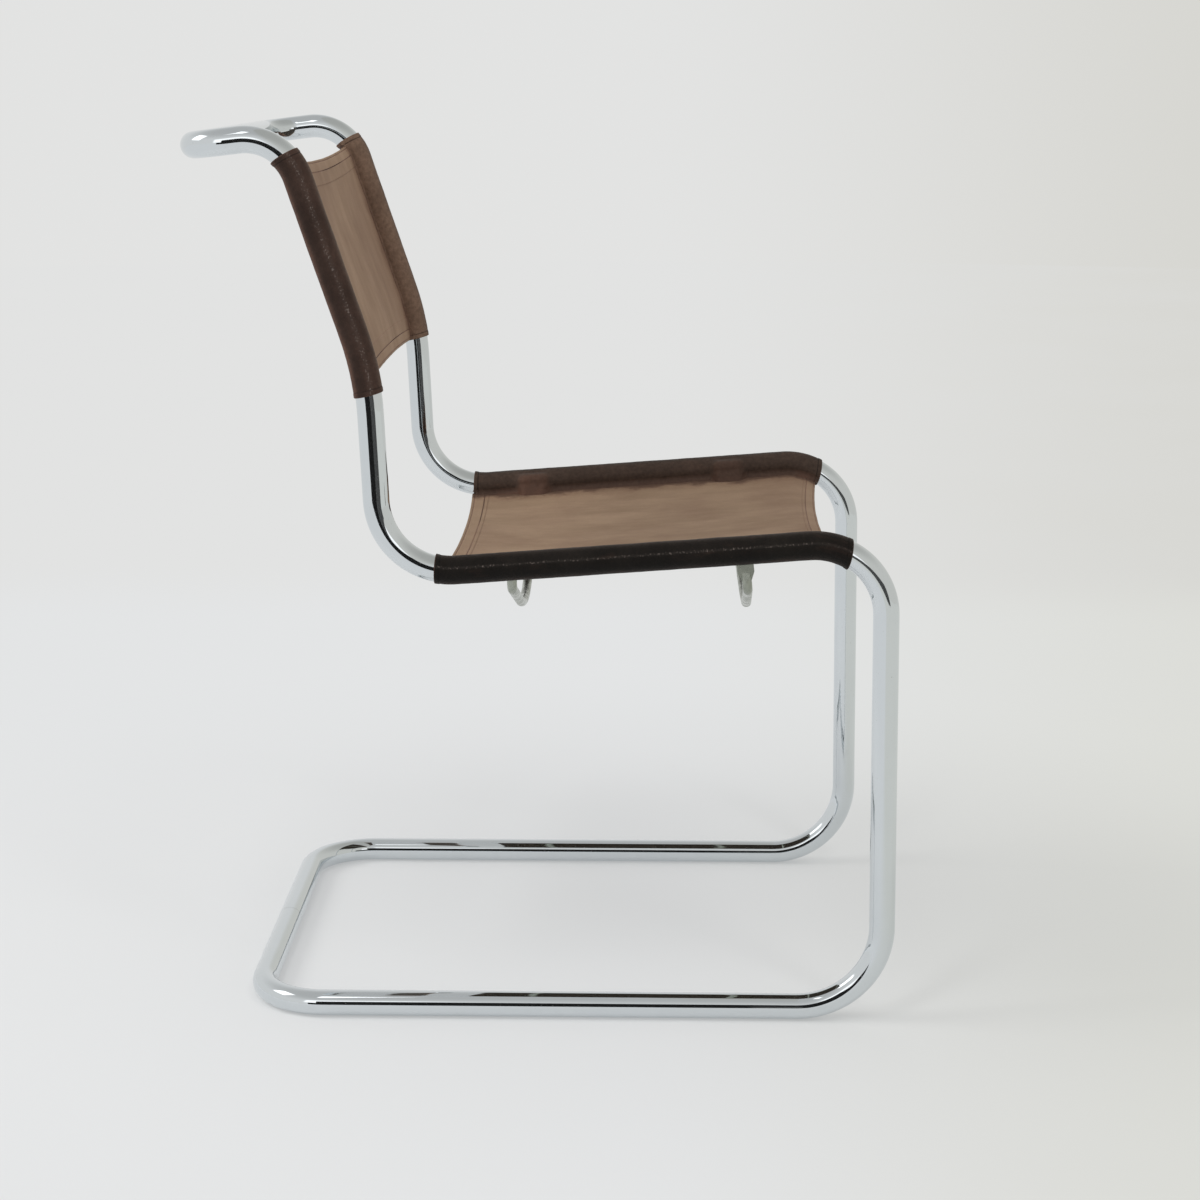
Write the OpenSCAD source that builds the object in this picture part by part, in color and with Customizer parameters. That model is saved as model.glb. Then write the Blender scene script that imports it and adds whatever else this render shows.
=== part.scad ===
// Cantilever chair: one loop of bent tube, a seat sling and a back sling on sleeves, two bowed stretchers.
// Millimetres. Z is up, the floor is z = 0, the chair faces -Y and is symmetric in X.

/* [Frame tube] */
// outer diameter of the tube
tube_diameter = 25; // [20:0.5:30]
// wall of the tube
tube_wall = 2; // [1.5:0.1:3]
// distance between the centre lines of the two sides
frame_spacing = 475; // [420:1:560]
// rear floor rail to the front corner of a runner
runner_run = 614; // [560:1:680]
// how far the top corner of a front leg stands behind its bottom corner
leg_setback = 6; // [0:0.5:30]
// height of the front seat corner
front_corner_height = 477.5; // [440:0.5:520]
// front seat corner to rear seat corner
seat_run = 476; // [430:1:540]
// how much the seat rail falls to the rear
seat_fall = 35.5; // [10:0.5:60]
// how far the lower back leans to the rear
lower_back_lean = 8.5; // [0:0.5:30]
// rear seat corner to the bend of the back
lower_back_rise = 190; // [150:1:230]
// how far the upper back leans to the rear
upper_back_lean = 73.5; // [40:0.5:110]
// bend of the back to the head corner
upper_back_rise = 218.5; // [180:0.5:260]
// head corner to the head rail
head_run = 87; // [82:0.5:120]
// how much the head rail lies below the head corner
head_fall = 10.5; // [0:0.5:25]

/* [Bends] */
// centre line radius of the two rear floor corners
floor_corner_radius = 68; // [50:1:90]
// centre line radius from runner to front leg
foot_bend_radius = 82; // [60:1:110]
// centre line radius from front leg to seat rail
knee_bend_radius = 68; // [55:1:90]
// centre line radius from seat rail to back
hip_bend_radius = 69; // [55:1:90]
// centre line radius of the gentle bend in the back
back_bend_radius = 270; // [200:5:400]
// centre line radius from back to head segment
head_bend_radius = 50; // [42:1:54]
// centre line radius of the two head corners
head_corner_radius = 36; // [30:1:40]

/* [Frame joint] */
// gap between the two tube ends
joint_gap = 0.3; // [0.1:0.1:1]
// length of the inner spigot
spigot_length = 100; // [60:1:140]
// wall of the spigot
spigot_wall = 2.5; // [2:0.1:4]
// slack between spigot and tube bore, per side
spigot_clearance = 0.05; // [0.02:0.01:0.2]
// thread diameter of a set screw
set_screw_diameter = 5; // [4:0.5:6]
// length of a set screw
set_screw_length = 4.2; // [3.5:0.1:5]
// depth of the screw below the tube's skin
set_screw_recess = 0.3; // [0.1:0.1:1]
// set screw to the joint
set_screw_offset = 28; // [15:1:40]
// width across flats of the screw's hexagon
set_screw_key = 2.5; // [2:0.1:3]
// depth of the hexagon
set_screw_key_depth = 2; // [1:0.1:2.5]

/* [Slings] */
// thickness of a sleeve wall
sleeve_thickness = 1.2; // [0.8:0.1:2]
// thickness of a sling panel
panel_thickness = 1.6; // [1:0.1:3]
// gap between the edge of a panel and the sleeve
panel_edge_gap = 0.2; // [0.1:0.1:1]
// width of the flap inside the edge of the panel
flap_width = 15; // [8:1:30]
// radius of the seat panel's hang between the rails
seat_sag_radius = 1700; // [1200:10:4000]
// radius of the back panel's hang between the uprights
back_sag_radius = 5000; // [1200:10:9000]
// distance of a flap's ends from the ends of the straight run
flap_inset = 2; // [1:0.5:10]
// height of the seat's flaps above the lowest line of their sleeves
seat_flap_rise = 0.6; // [0.4:0.1:3]
// distance of the back's flaps in front of the rearmost line of their sleeves
back_flap_rise = 5.4; // [0.4:0.1:7]
// depth of the hollow in the seat's front edge
seat_front_hollow = 11.5; // [5:0.5:30]
// depth of the hollow in the seat's rear edge
seat_rear_hollow = 4; // [2:0.5:30]
// depth of the hollow in the back's top edge
back_top_hollow = 6; // [2:0.5:30]
// depth of the hollow in the back's bottom edge
back_bottom_hollow = 5.5; // [2:0.5:30]
// how far the seat sleeve runs round the front bend, in degrees
seat_front_wrap = 37; // [10:1:50]
// how far the seat sleeve runs round the rear bend, in degrees
seat_rear_wrap = 15; // [10:1:35]
// how far the back sleeve runs round the head bend, in degrees
back_top_wrap = 28; // [12:1:40]
// how far the back sleeve runs down the bend of the back, in degrees
back_bottom_wrap = 12; // [4:0.2:13]
// how far the back panel stops short of its sleeve, in degrees of the head bend
back_top_short = 7; // [0:1:12]

/* [Stretchers] */
// diameter of a stretcher rod
rod_diameter = 9.5; // [8:0.5:12]
// slope of a stretcher's arms, in degrees
rod_slope = 17.5; // [10:0.5:25]
// centre line radius of the middle of the bow
bow_radius = 300; // [150:5:500]
// centre line radius where an arm turns up to its tab
elbow_radius = 12; // [9:0.5:20]
// width of the flattened end
tab_width = 16; // [12:0.5:20]
// thickness of the flattened end
tab_thickness = 4; // [3:0.5:6]
// length over which the flat end runs into the rod
tab_taper = 8; // [4:0.5:12]
// rear seat corner to the front stretcher, along the seat
front_stretcher_place = 343; // [300:1:370]
// rear seat corner to the rear stretcher, along the seat
rear_stretcher_place = 123; // [100:1:200]
// centre line of the rail down to the front stretcher's elbow
front_tab_drop = 32; // [24:0.5:45]
// centre line of the rail down to the rear stretcher's elbow
rear_tab_drop = 15.5; // [15:0.5:30]
// forward tilt of the front stretcher, in degrees
front_stretcher_tilt = 6.5; // [-10:0.5:15]
// forward tilt of the rear stretcher, in degrees
rear_stretcher_tilt = 1; // [-10:0.5:15]
// room round a tab inside the pocket of the cloth
pocket_gap = 2.1; // [2:0.1:4]

/* [Stretcher screws] */
// thread diameter
screw_diameter = 5; // [4:0.5:6]
// length under the head
screw_length = 10; // [7:0.5:16]
// diameter of the countersunk head
screw_head_diameter = 9.5; // [8:0.5:11]
// width across flats of the socket
screw_key = 3; // [2:0.1:4]
// depth of the socket
screw_key_depth = 1.8; // [1:0.1:2]
// slack between a screw and the hole in its tab, per side
screw_clearance = 0.2; // [0.1:0.1:0.6]

/* [Hidden] */
$fn = 72;
// facets of a full turn where only a small part of a wide sweep is used
wide_fn = 720;
// overrun of cuts, as a length and in degrees of a bend
cut = 1;
cut_turn = 1;
// slack between cloth and tube, and between a screw head and its seat
slack = 0.01;
// share of a hexagon's width across flats that is its width across corners
hex_share = 2 / sqrt(3);

tube_radius = tube_diameter / 2;
bore_radius = tube_radius - tube_wall;
sleeve_radius = tube_radius + sleeve_thickness;
side = frame_spacing / 2;

// Side view, as [to the rear, up] from the rear floor rail's centre line on the floor.
floor_level = tube_radius;
rear_rail = [0, floor_level];
front_foot = [-runner_run, floor_level];
// the corners after these two, each from the one before it
steps = [[leg_setback, front_corner_height - floor_level], [seat_run, -seat_fall],
    [lower_back_lean, lower_back_rise], [upper_back_lean, upper_back_rise], [head_run, -head_fall]];

bends = [floor_corner_radius, foot_bend_radius, knee_bend_radius, hip_bend_radius, back_bend_radius,
    head_bend_radius, head_corner_radius];

function unit(v) = v / norm(v);
function heading(v) = atan2(v[1], v[0]);

// Turns settle on nearby angles whose sine and cosine make a unit vector to six figures, so that
// every bend ends exactly where the next run starts.
function six_figures(x) = x == 0 ? 0 : let (u = pow(10, 5 - floor(ln(abs(x)) / ln(10)))) round(x * u) / u;
function unit_error(a) = let (c = six_figures(cos(a)), s = six_figures(sin(a))) abs(c * c + s * s - 1);
function least(list, i, found) = i == len(list) ? found
    : least(list, i + 1, list[i][0] < found[0] ? list[i] : found);
function settled(a) = let (tries = [for (k = [-2000:2000]) [unit_error(a + k / 100000), a + k / 100000]])
    least(tries, 1, tries[0])[1];

// Which way each bend turns: 90 turns to the sitter, -90 away, 0 inwards.
ways = [0, -90, -90, 90, -90, -90, 0];
turns = [90, for (i = [1:5]) settled(abs(heading(steps[i - 1])
    - (i == 1 ? 180 : heading(steps[i - 2])))), 90];
// headings of the straight lines from corner to corner, and the corners
headings = [for (i = 0, h = 180; i < 6; i = i + 1, h = h + turns[i] * sign(ways[i])) h];
function corner(i) = i == 0 ? rear_rail : corner(i - 1)
    + (i == 1 ? runner_run : norm(steps[i - 2])) * [cos(headings[i - 1]), sin(headings[i - 1])];
path = [for (i = [0:6]) corner(i)];
front_knee = path[2];
rear_hip = path[3];
head_bend = path[5];
head_rail = path[6];
function to_prev(i) = unit(path[i - 1] - path[i]);
function to_next(i) = unit(path[i + 1] - path[i]);
function half_angle(i) = acos(to_prev(i) * to_next(i)) / 2;
// Distance from corner i to where its bend starts and ends.
function setback(i) = i == 0 || i == len(path) - 1 ? bends[i] : bends[i] / tan(half_angle(i));
function bend_start(i) = path[i] + to_prev(i) * setback(i);
function bend_end(i) = path[i] + to_next(i) * setback(i);
function bend_centre(i) = path[i] + unit(to_prev(i) + to_next(i)) * bends[i] / sin(half_angle(i));

// The rest of the part is centred on its own box, front to rear.
foremost = bend_centre(1)[0] - foot_bend_radius - tube_radius;
rearmost = head_rail[0] + tube_radius;
middle = (foremost + rearmost) / 2;

module in_place() translate([0, -middle, 0]) children();
module both_sides() {
    children();
    mirror([1, 0, 0]) children();
}

module ring(outer, inner) difference() {
    circle(outer);
    circle(inner);
}

// ---- rods along Z from the origin; their children go on from the end

module rod(length, radius) {
    cylinder(length, r = radius);
    translate([0, 0, length]) children();
}
// A bend about an axis that lies bend_radius away on the X side turned by way degrees.
module curve(bend_radius, angle, way, radius)
    rotate(way) translate([bend_radius, 0, 0]) rotate([-90, 0, 0]) rotate(180) {
        difference() {
            rotate_extrude(angle = angle + ($children > 0 ? cut_turn : 0))
                translate([bend_radius, 0]) circle(radius);
            // cut square where the children start
            if ($children > 0) rotate(angle) translate([bend_radius - radius - cut, 0, -radius - cut])
                cube([2 * (radius + cut), bend_radius, 2 * (radius + cut)]);
        }
        rotate(angle) rotate(180) rotate([90, 0, 0]) translate([-bend_radius, 0, 0])
            rotate(-way) children();
    }
// Follows legs, each [length, then radius, angle and way of a bend], from leg k on, and a last length.
module follow(legs, last, radius, k = 0)
    if (k < len(legs)) rod(legs[k][0], radius) curve(legs[k][1], legs[k][2], legs[k][3], radius)
        follow(legs, last, radius, k + 1);
    else cylinder(last, r = radius);

// ---- frame tube

head_turn = head_rail - unit(head_rail - head_bend) * head_corner_radius;
floor_turn = rear_rail - [floor_corner_radius, 0];
function run_length(i) = norm(bend_start(i + 1) - bend_end(i));
function leg(i, length) = [length, bends[i], turns[i], ways[i]];

// The whole loop as a solid rod; its two ends stand gap apart in the rear floor rail.
module loop(radius, gap) both_sides() difference() {
    translate([gap / 2, rear_rail[0], rear_rail[1]]) rotate([90, 0, 90]) rotate(180)
        follow([leg(0, side - floor_corner_radius - gap / 2), leg(1, norm(bend_start(1) - floor_turn)),
            leg(2, run_length(1)), leg(3, run_length(2)), leg(4, run_length(3)),
            leg(5, run_length(4)), leg(6, norm(head_turn - bend_end(5)))],
            side - head_corner_radius + cut, radius);
    // both halves end in the middle of the head rail
    translate([-2 * cut, head_rail[0] - tube_diameter, head_rail[1] - tube_diameter])
        cube([2 * cut, 2 * tube_diameter, 2 * tube_diameter]);
}

// Puts Z along the straight run after bend i, at x = side.
module run_frame(i) translate([side, bend_end(i)[0], bend_end(i)[1]])
    rotate([headings[i] - 90, 0, 0]) rotate(180) children();

module set_screw_places() for (s = [-1, 1])
    translate([s * set_screw_offset, rear_rail[0], 0]) children();

module frame_tube() color("gainsboro") in_place() difference() {
    loop(tube_radius, joint_gap);
    loop(bore_radius, joint_gap - 2 * cut);
    set_screw_places() translate([0, 0, -cut]) cylinder(tube_wall + 2 * cut, d = set_screw_diameter);
    stretcher_screw_places() cylinder(tube_wall + 2 * cut, d = screw_diameter, center = true);
}

spigot_radius = bore_radius - spigot_clearance;
module joint_spigot() color("dimgray") in_place() difference() {
    translate([-spigot_length / 2, rear_rail[0], rear_rail[1]]) rotate([90, 0, 90])
        linear_extrude(spigot_length) ring(spigot_radius, spigot_radius - spigot_wall);
    set_screw_places() cylinder(tube_radius, d = set_screw_diameter);
}

module joint_screws() color("dimgray") in_place() set_screw_places() difference() {
    translate([0, 0, set_screw_recess]) cylinder(set_screw_length, d = set_screw_diameter);
    translate([0, 0, set_screw_recess - cut])
        cylinder(set_screw_key_depth + cut, d = set_screw_key * hex_share, $fn = 6);
}

// ---- slings

// A strip along the tube in [normal, along] from the start of the straight run. lo and hi are its faces
// along the normal. It continues round the bend before and the bend after, each given as
// [radius, side of the bend's centre on the normal, degrees].
module strip(lo, hi, length, before, after) {
    translate([lo, 0]) square([hi - lo, length]);
    bent_end(lo, hi, before, 0, -1);
    bent_end(lo, hi, after, length, 1);
}
module bent_end(lo, hi, b, at, way) {
    c = b[0] * b[1];
    near = abs(c - lo);
    far = abs(c - hi);
    reach = max(near, far) + cut;
    translate([c, at]) intersection() {
        ring(max(near, far), min(near, far), $fn = wide_fn);
        polygon([[0, 0], [-b[1] * reach, 0], [-b[1] * reach, way * reach * tan(b[2])]]);
    }
}
// Places its children in the frame of the straight run after bend i: X across, Y along, Z to the sitter.
module sling_frame(i) translate([0, bend_end(i)[0], bend_end(i)[1]])
    rotate([headings[i], 0, 0]) children();
function bend_form(i, wrap) = [bends[i], sign(ways[i]), wrap];

// Level of a panel's face and the place of its edge, from the rise of the flaps under it.
function face_level(flap_rise) = flap_rise + sleeve_thickness + panel_thickness - sleeve_radius;
function panel_edge(face) = side - panel_edge_gap
    - sqrt(max(sleeve_radius * sleeve_radius - face * face, 0));
function hang_axis(face, radius) = face + sqrt(radius * radius - panel_edge(face) * panel_edge(face));

// Sweeps a strip about an axis on the sitter's side, so that it hangs between the rails.
module hang(face, radius) {
    half = asin(side / radius);
    translate([0, 0, hang_axis(face, radius)]) rotate([-90, 0, 0]) rotate(90 - half)
        rotate_extrude(angle = 2 * half, $fn = wide_fn)
        translate([radius + face, 0]) mirror([1, 0]) children();
}
// A block from x = lo to x = hi that takes in the whole length of a sling.
module band(lo, hi) translate([lo, -side, -side]) cube([hi - lo, side + run_length(2) + side, 2 * side]);

// A cylinder whose skin meets an edge just inside its two ends and lies depth inside it at the middle.
module hollow_cut(edge, at, depth, way) {
    half = edge - cut;
    radius = (half * half + depth * depth) / (2 * depth);
    translate([0, at - way * (depth - radius), 0])
        cylinder(4 * tube_diameter, r = radius, center = true, $fn = wide_fn);
}
module panel(i, face, radius, first, last, first_hollow, last_hollow) {
    edge = panel_edge(face);
    length = run_length(i);
    a = bend_form(i, first);
    b = bend_form(i + 1, last);
    difference() {
        intersection() {
            hang(face, radius) strip(face - panel_thickness, face, length, a, b);
            band(-edge, edge);
        }
        hollow_cut(edge, -abs(a[0] * a[1] - face) * sin(first), first_hollow, -1);
        hollow_cut(edge, length + abs(b[0] * b[1] - face) * sin(last), last_hollow, 1);
    }
}
// The flap under the edge of a panel, rooted in the wall of the sleeve.
module flap(i, face, radius) {
    wall_radius = tube_radius + sleeve_thickness / 2;
    swing = radius + panel_thickness + sleeve_thickness / 2;
    level = function (off) hang_axis(face, radius) - sqrt(swing * swing - (side - off) * (side - off));
    root = function (off) sqrt(max(wall_radius * wall_radius - level(off) * level(off), 0));
    intersection() {
        hang(face, radius)
            translate([face - panel_thickness - sleeve_thickness, flap_inset])
            square([sleeve_thickness, run_length(i) - 2 * flap_inset]);
        band(panel_edge(face) - flap_width, side - root(root(wall_radius / 2)));
    }
}
// The rod inside a sleeve, or the sleeve's outside; it runs on by more degrees at both ends.
module sleeve_rod(i, first, last, radius, more) run_frame(i) {
    cylinder(run_length(i), r = radius);
    translate([0, 0, run_length(i)]) curve(bends[i + 1], last + more, ways[i + 1], radius);
    rotate([180, 0, 0]) curve(bends[i], first + more, -ways[i], radius);
}
// The sleeve round the tube at x = side, with its flap.
module sleeve(i, face, radius, first, last) {
    difference() {
        sleeve_rod(i, first, last, sleeve_radius, 0);
        sleeve_rod(i, first, last, tube_radius + slack, cut_turn);
    }
    sling_frame(i) flap(i, face, radius);
}

seat_face = face_level(seat_flap_rise);
back_face = face_level(back_flap_rise);

module seat_panel() color("rosybrown") in_place() difference() {
    sling_frame(2) panel(2, seat_face, seat_sag_radius, seat_front_wrap, seat_rear_wrap,
        seat_front_hollow, seat_rear_hollow);
    both_sides() tab_pockets(sleeve_thickness + panel_edge_gap, side, cut);
}
module back_panel() color("rosybrown") in_place()
    sling_frame(4) panel(4, back_face, back_sag_radius, back_bottom_wrap,
        back_top_wrap - back_top_short, back_bottom_hollow, back_top_hollow);

module seat_sleeve() difference() {
    union() {
        sleeve(2, seat_face, seat_sag_radius, seat_front_wrap, seat_rear_wrap);
        tab_pockets(sleeve_thickness, tab_x + tab_thickness / 2 + pocket_gap + sleeve_thickness,
            -seat_flap_rise);
    }
    tab_pockets(0, tab_x + tab_thickness / 2 + pocket_gap, rod_radius);
    sleeve_rod(2, seat_front_wrap, seat_rear_wrap, tube_radius + slack, cut_turn);
}
module seat_sleeve_left() color("saddlebrown") in_place() seat_sleeve();
module seat_sleeve_right() color("saddlebrown") in_place() mirror([1, 0, 0]) seat_sleeve();
module back_sleeve() sleeve(4, back_face, back_sag_radius, back_bottom_wrap, back_top_wrap);
module back_sleeve_left() color("saddlebrown") in_place() back_sleeve();
module back_sleeve_right() color("saddlebrown") in_place() mirror([1, 0, 0]) back_sleeve();

// ---- stretchers

rod_radius = rod_diameter / 2;
slope = settled(rod_slope);
tab_x = side - tube_radius - tab_thickness / 2;
// Each stretcher as [place along the seat, drop of its elbow, forward tilt].
front_stretcher = [front_stretcher_place, front_tab_drop, front_stretcher_tilt];
rear_stretcher = [rear_stretcher_place, rear_tab_drop, rear_stretcher_tilt];

// A frame with its origin on the rails' centre line: X across, Z up along the tabs.
module stretcher_frame(s) {
    at = rear_hip + unit(front_knee - rear_hip) * s[0];
    translate([0, at[0], at[1]]) rotate([-s[2], 0, 0]) children();
}
module tab_outline(drop) {
    flat = tab_width / 2;
    circle(flat);
    polygon([[-flat, 0], [-flat, tab_taper - drop], [-rod_radius, -drop], [rod_radius, -drop],
        [flat, tab_taper - drop], [flat, 0]]);
}
// A flattened end, from the elbow's end at the origin up to its rounded top.
module tab(drop) {
    difference() {
        translate([-tab_thickness / 2, 0, drop]) rotate([90, 0, 90])
            linear_extrude(tab_thickness) tab_outline(drop);
        translate([-tab_thickness / 2, 0, drop]) rotate([0, 90, 0]) {
            screw_head(slack);
            cylinder(tab_thickness + cut, d = screw_diameter + 2 * screw_clearance);
        }
    }
    // the round rod runs into the flat end
    intersection() {
        cylinder(tab_taper, r = rod_radius);
        translate([0, tab_width / 2, 0]) rotate([90, 0, 0]) linear_extrude(tab_width)
            polygon([[-rod_diameter, -cut], [rod_diameter, -cut], [rod_diameter, 0], [rod_radius, 0],
                [tab_thickness / 2, tab_taper], [-tab_thickness / 2, tab_taper], [-rod_radius, 0],
                [-rod_diameter, 0]]);
    }
}
// A bow from the middle of the chair, an arm up to the elbow, and the flattened end, on both sides.
module stretcher(s) stretcher_frame(s) {
    drop = s[1];
    inner = tab_x - elbow_radius * (1 - sin(slope));
    bow_end = bow_radius * sin(slope);
    arm_length = (inner - bow_end) / cos(slope);
    level = -drop - elbow_radius * cos(slope) - (inner - bow_end) * tan(slope)
        - bow_radius * (1 - cos(slope));
    both_sides() translate([0, 0, level]) rotate([90, 0, 90])
        curve(bow_radius, slope, 90, rod_radius)
        rod(arm_length, rod_radius)
        curve(elbow_radius, 90 - slope, 90, rod_radius)
        rotate(-90) tab(drop);
}
module stretcher_front() color("gainsboro") in_place() stretcher(front_stretcher);
module stretcher_rear() color("gainsboro") in_place() stretcher(rear_stretcher);

// Space round the upper end of each tab, widened by wall, to x = outer and to depth below the sleeve.
module tab_pockets(wall, outer, depth) for (s = [front_stretcher, rear_stretcher]) stretcher_frame(s) {
    inner = tab_x - tab_thickness / 2 - pocket_gap - wall;
    half = tab_width / 2 + pocket_gap + wall;
    translate([inner, 0, 0]) rotate([90, 0, 90]) linear_extrude(outer - inner) {
        circle(half);
        translate([-half, -sleeve_radius - depth]) square([2 * half, sleeve_radius + depth]);
    }
}

// The centre of the tube's inner wall at each screw, with Z along the screw, away from the middle.
module stretcher_screw_places() both_sides() for (s = [front_stretcher, rear_stretcher])
    stretcher_frame(s) translate([side - tube_radius + tube_wall / 2, 0, 0]) rotate([0, 90, 0]) children();

// The countersunk head, from its face down to the shank.
module screw_head(room) cylinder((screw_head_diameter - screw_diameter) / 2 + room,
    r1 = screw_head_diameter / 2 + room, r2 = screw_diameter / 2);
module stretcher_screws() color("dimgray") in_place() stretcher_screw_places()
    translate([0, 0, tab_x - tab_thickness / 2 - side + tube_radius - tube_wall / 2]) difference() {
        union() {
            screw_head(0);
            cylinder(screw_length, d = screw_diameter);
        }
        translate([0, 0, -cut])
            cylinder(screw_key_depth + cut, d = screw_key * hex_share, $fn = 6);
    }

frame_tube();
joint_spigot();
joint_screws();
seat_panel();
seat_sleeve_left();
seat_sleeve_right();
back_panel();
back_sleeve_left();
back_sleeve_right();
stretcher_front();
stretcher_rear();
stretcher_screws();
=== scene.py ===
"""Looks of a cantilever chair: chromed tube, two stitched slings, plated stretchers, and a pale studio."""

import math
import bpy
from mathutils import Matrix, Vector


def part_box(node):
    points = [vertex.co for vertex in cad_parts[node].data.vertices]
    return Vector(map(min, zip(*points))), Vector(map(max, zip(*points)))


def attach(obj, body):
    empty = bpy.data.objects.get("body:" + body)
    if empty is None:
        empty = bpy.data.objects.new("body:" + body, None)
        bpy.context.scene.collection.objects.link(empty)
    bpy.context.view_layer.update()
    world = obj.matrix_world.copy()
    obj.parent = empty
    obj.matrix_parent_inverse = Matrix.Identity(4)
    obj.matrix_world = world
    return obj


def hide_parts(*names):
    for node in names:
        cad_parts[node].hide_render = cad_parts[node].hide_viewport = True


bl_info = {
    "name": "Cantilever Chair",
    "version": (1, 0, 0),
    "blender": (4, 5, 0),
    "location": "View3D > Sidebar > Chair",
    "description": "Dresses the packed chair with chrome, slings and stitching, and sets up the studio",
    "category": "Object",
}

import bmesh
import bpy
import numpy as np
from bpy.props import FloatProperty, FloatVectorProperty, PointerProperty
from mathutils import Matrix, Vector, noise

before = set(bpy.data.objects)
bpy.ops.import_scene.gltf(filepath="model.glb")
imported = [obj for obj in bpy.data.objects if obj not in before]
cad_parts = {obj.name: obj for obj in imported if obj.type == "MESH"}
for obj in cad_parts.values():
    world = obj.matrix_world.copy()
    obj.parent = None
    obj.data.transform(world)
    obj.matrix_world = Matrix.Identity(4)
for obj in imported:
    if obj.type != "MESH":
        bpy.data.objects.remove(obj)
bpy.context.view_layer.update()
BODY = "root"
TUBE_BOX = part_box("frame_tube")


# Sizes and colours that a user would change


def length(name, description, default):
    return FloatProperty(name=name, description=description, default=default, unit="LENGTH", precision=4)


def turn(name, description, degrees):
    return FloatProperty(name=name, description=description, default=math.radians(degrees), unit="ROTATION")


def number(name, description, default):
    return FloatProperty(name=name, description=description, default=default)


def colour(name, description, default):
    return FloatVectorProperty(name=name, description=description, default=default, subtype="COLOR", min=0, max=1)


def step(name, description, default):
    return FloatVectorProperty(name=name, description=description, default=default, size=2, unit="LENGTH")


class ChairTubeSizes(bpy.types.PropertyGroup):
    diameter: length("Tube diameter", "Outer diameter of the chromed tube", 0.025)
    spacing: length("Frame spacing", "Distance between the centre lines of the two sides", 0.475)
    runner_run: length("Runner", "Rear floor rail to the front corner of a runner", 0.614)
    leg: step("Front leg", "Rearward and upward from the foot corner to the front seat corner", (0.006, 0.465))
    seat: step("Seat rail", "Rearward and upward from the front to the rear seat corner", (0.476, -0.0355))
    lower_back: step("Lower back", "From the rear seat corner to the bend of the back", (0.0085, 0.190))
    upper_back: step("Upper back", "From the bend of the back to the head corner", (0.0735, 0.2185))
    head: step("Head", "From the head corner to the head rail", (0.087, -0.0105))
    knee_radius: length("Knee bend", "Centre line radius from front leg to seat rail", 0.068)
    hip_radius: length("Hip bend", "Centre line radius from seat rail to back", 0.069)
    back_radius: length("Back bend", "Centre line radius of the gentle bend in the back", 0.270)
    head_radius: length("Head bend", "Centre line radius from back to head", 0.050)
    floor_radius: length("Floor corner", "Centre line radius from rear floor rail to runner", 0.068)
    foot_radius: length("Foot bend", "Centre line radius from runner to front leg", 0.082)
    crown_radius: length("Head corner", "Centre line radius from head to head rail", 0.036)
    wall: length("Wall", "Thickness of the tube's wall", 0.002)
    joint: length("Joint", "Gap between the tube's ends", 0.0003)
    set_screw: length("Set screw", "From the joint to a set screw", 0.028)
    hole: length("Hole", "Diameter of the screw holes in the tube", 0.005)


class SlingSizes:
    """What the seat and the back sling share."""

    sleeve: length("Sleeve", "Thickness of the leather round the tube", 0.0012)
    panel: length("Panel", "Thickness of the panel between the rails", 0.0016)
    edge_gap: length("Edge gap", "Gap between the edge of the panel and the sleeve", 0.0002)
    flap: length("Flap", "Width of the sleeve's seam flap inside the edge of the panel", 0.015)
    flap_inset: length("Flap inset", "Distance of the flap's ends from the ends of the straight run", 0.002)
    stitch: length("Stitch", "Distance from one stitch to the next", 0.0034)
    thread: length("Thread", "Thickness of the sewing thread", 0.0007)
    hem_roll: length("Hem roll", "Width of the rolled edge outside the hem", 0.0028)
    hem_stitch: length("Hem seam", "Distance of the hem's seam from the edge", 0.0125)
    hem_swell: length("Hem swell", "How much thicker the folded hem is on each side", 0.0005)
    slant: number("Slant", "How much further a sleeve reaches on the inside of a bend", 0.55)
    taut_run: length("Taut run", "Length over which a hem holds the panel up", 0.05)


class SeatSlingSizes(SlingSizes, bpy.types.PropertyGroup):
    sag_radius: length("Sag", "Radius of the panel's hang between the rails", 1.7)
    flap_rise: length("Flap rise", "Height of the flap above the lowest line of its sleeve", 0.0006)
    first_wrap: turn("Front wrap", "How far the sleeve runs round the front bend", 35.5)
    last_wrap: turn("Rear wrap", "How far the sleeve runs round the rear bend", 15)
    short: turn("Short", "How far the panel stops short of its sleeve", 0)
    first_hollow: length("Front hollow", "Depth of the hollow in the front edge", 0.0115)
    last_hollow: length("Rear hollow", "Depth of the hollow in the rear edge", 0.004)
    first_taut: number("Front hem", "Share of the hang the front hem takes up", 0.2)
    last_taut: number("Rear hem", "Share of the hang the rear hem takes up", 0.6)
    skew: length("Skew", "How much further forward the sling sits on the sitter's left", 0.002)
    lip: length("Lip", "How far the sleeve's inner edge lies on the panel", 0.0062)
    glint: length("Glint", "Half width of the glinting line along a sleeve", 0.0009)
    hem: length("Hem", "Width of the folded hem", 0.0165)


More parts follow.
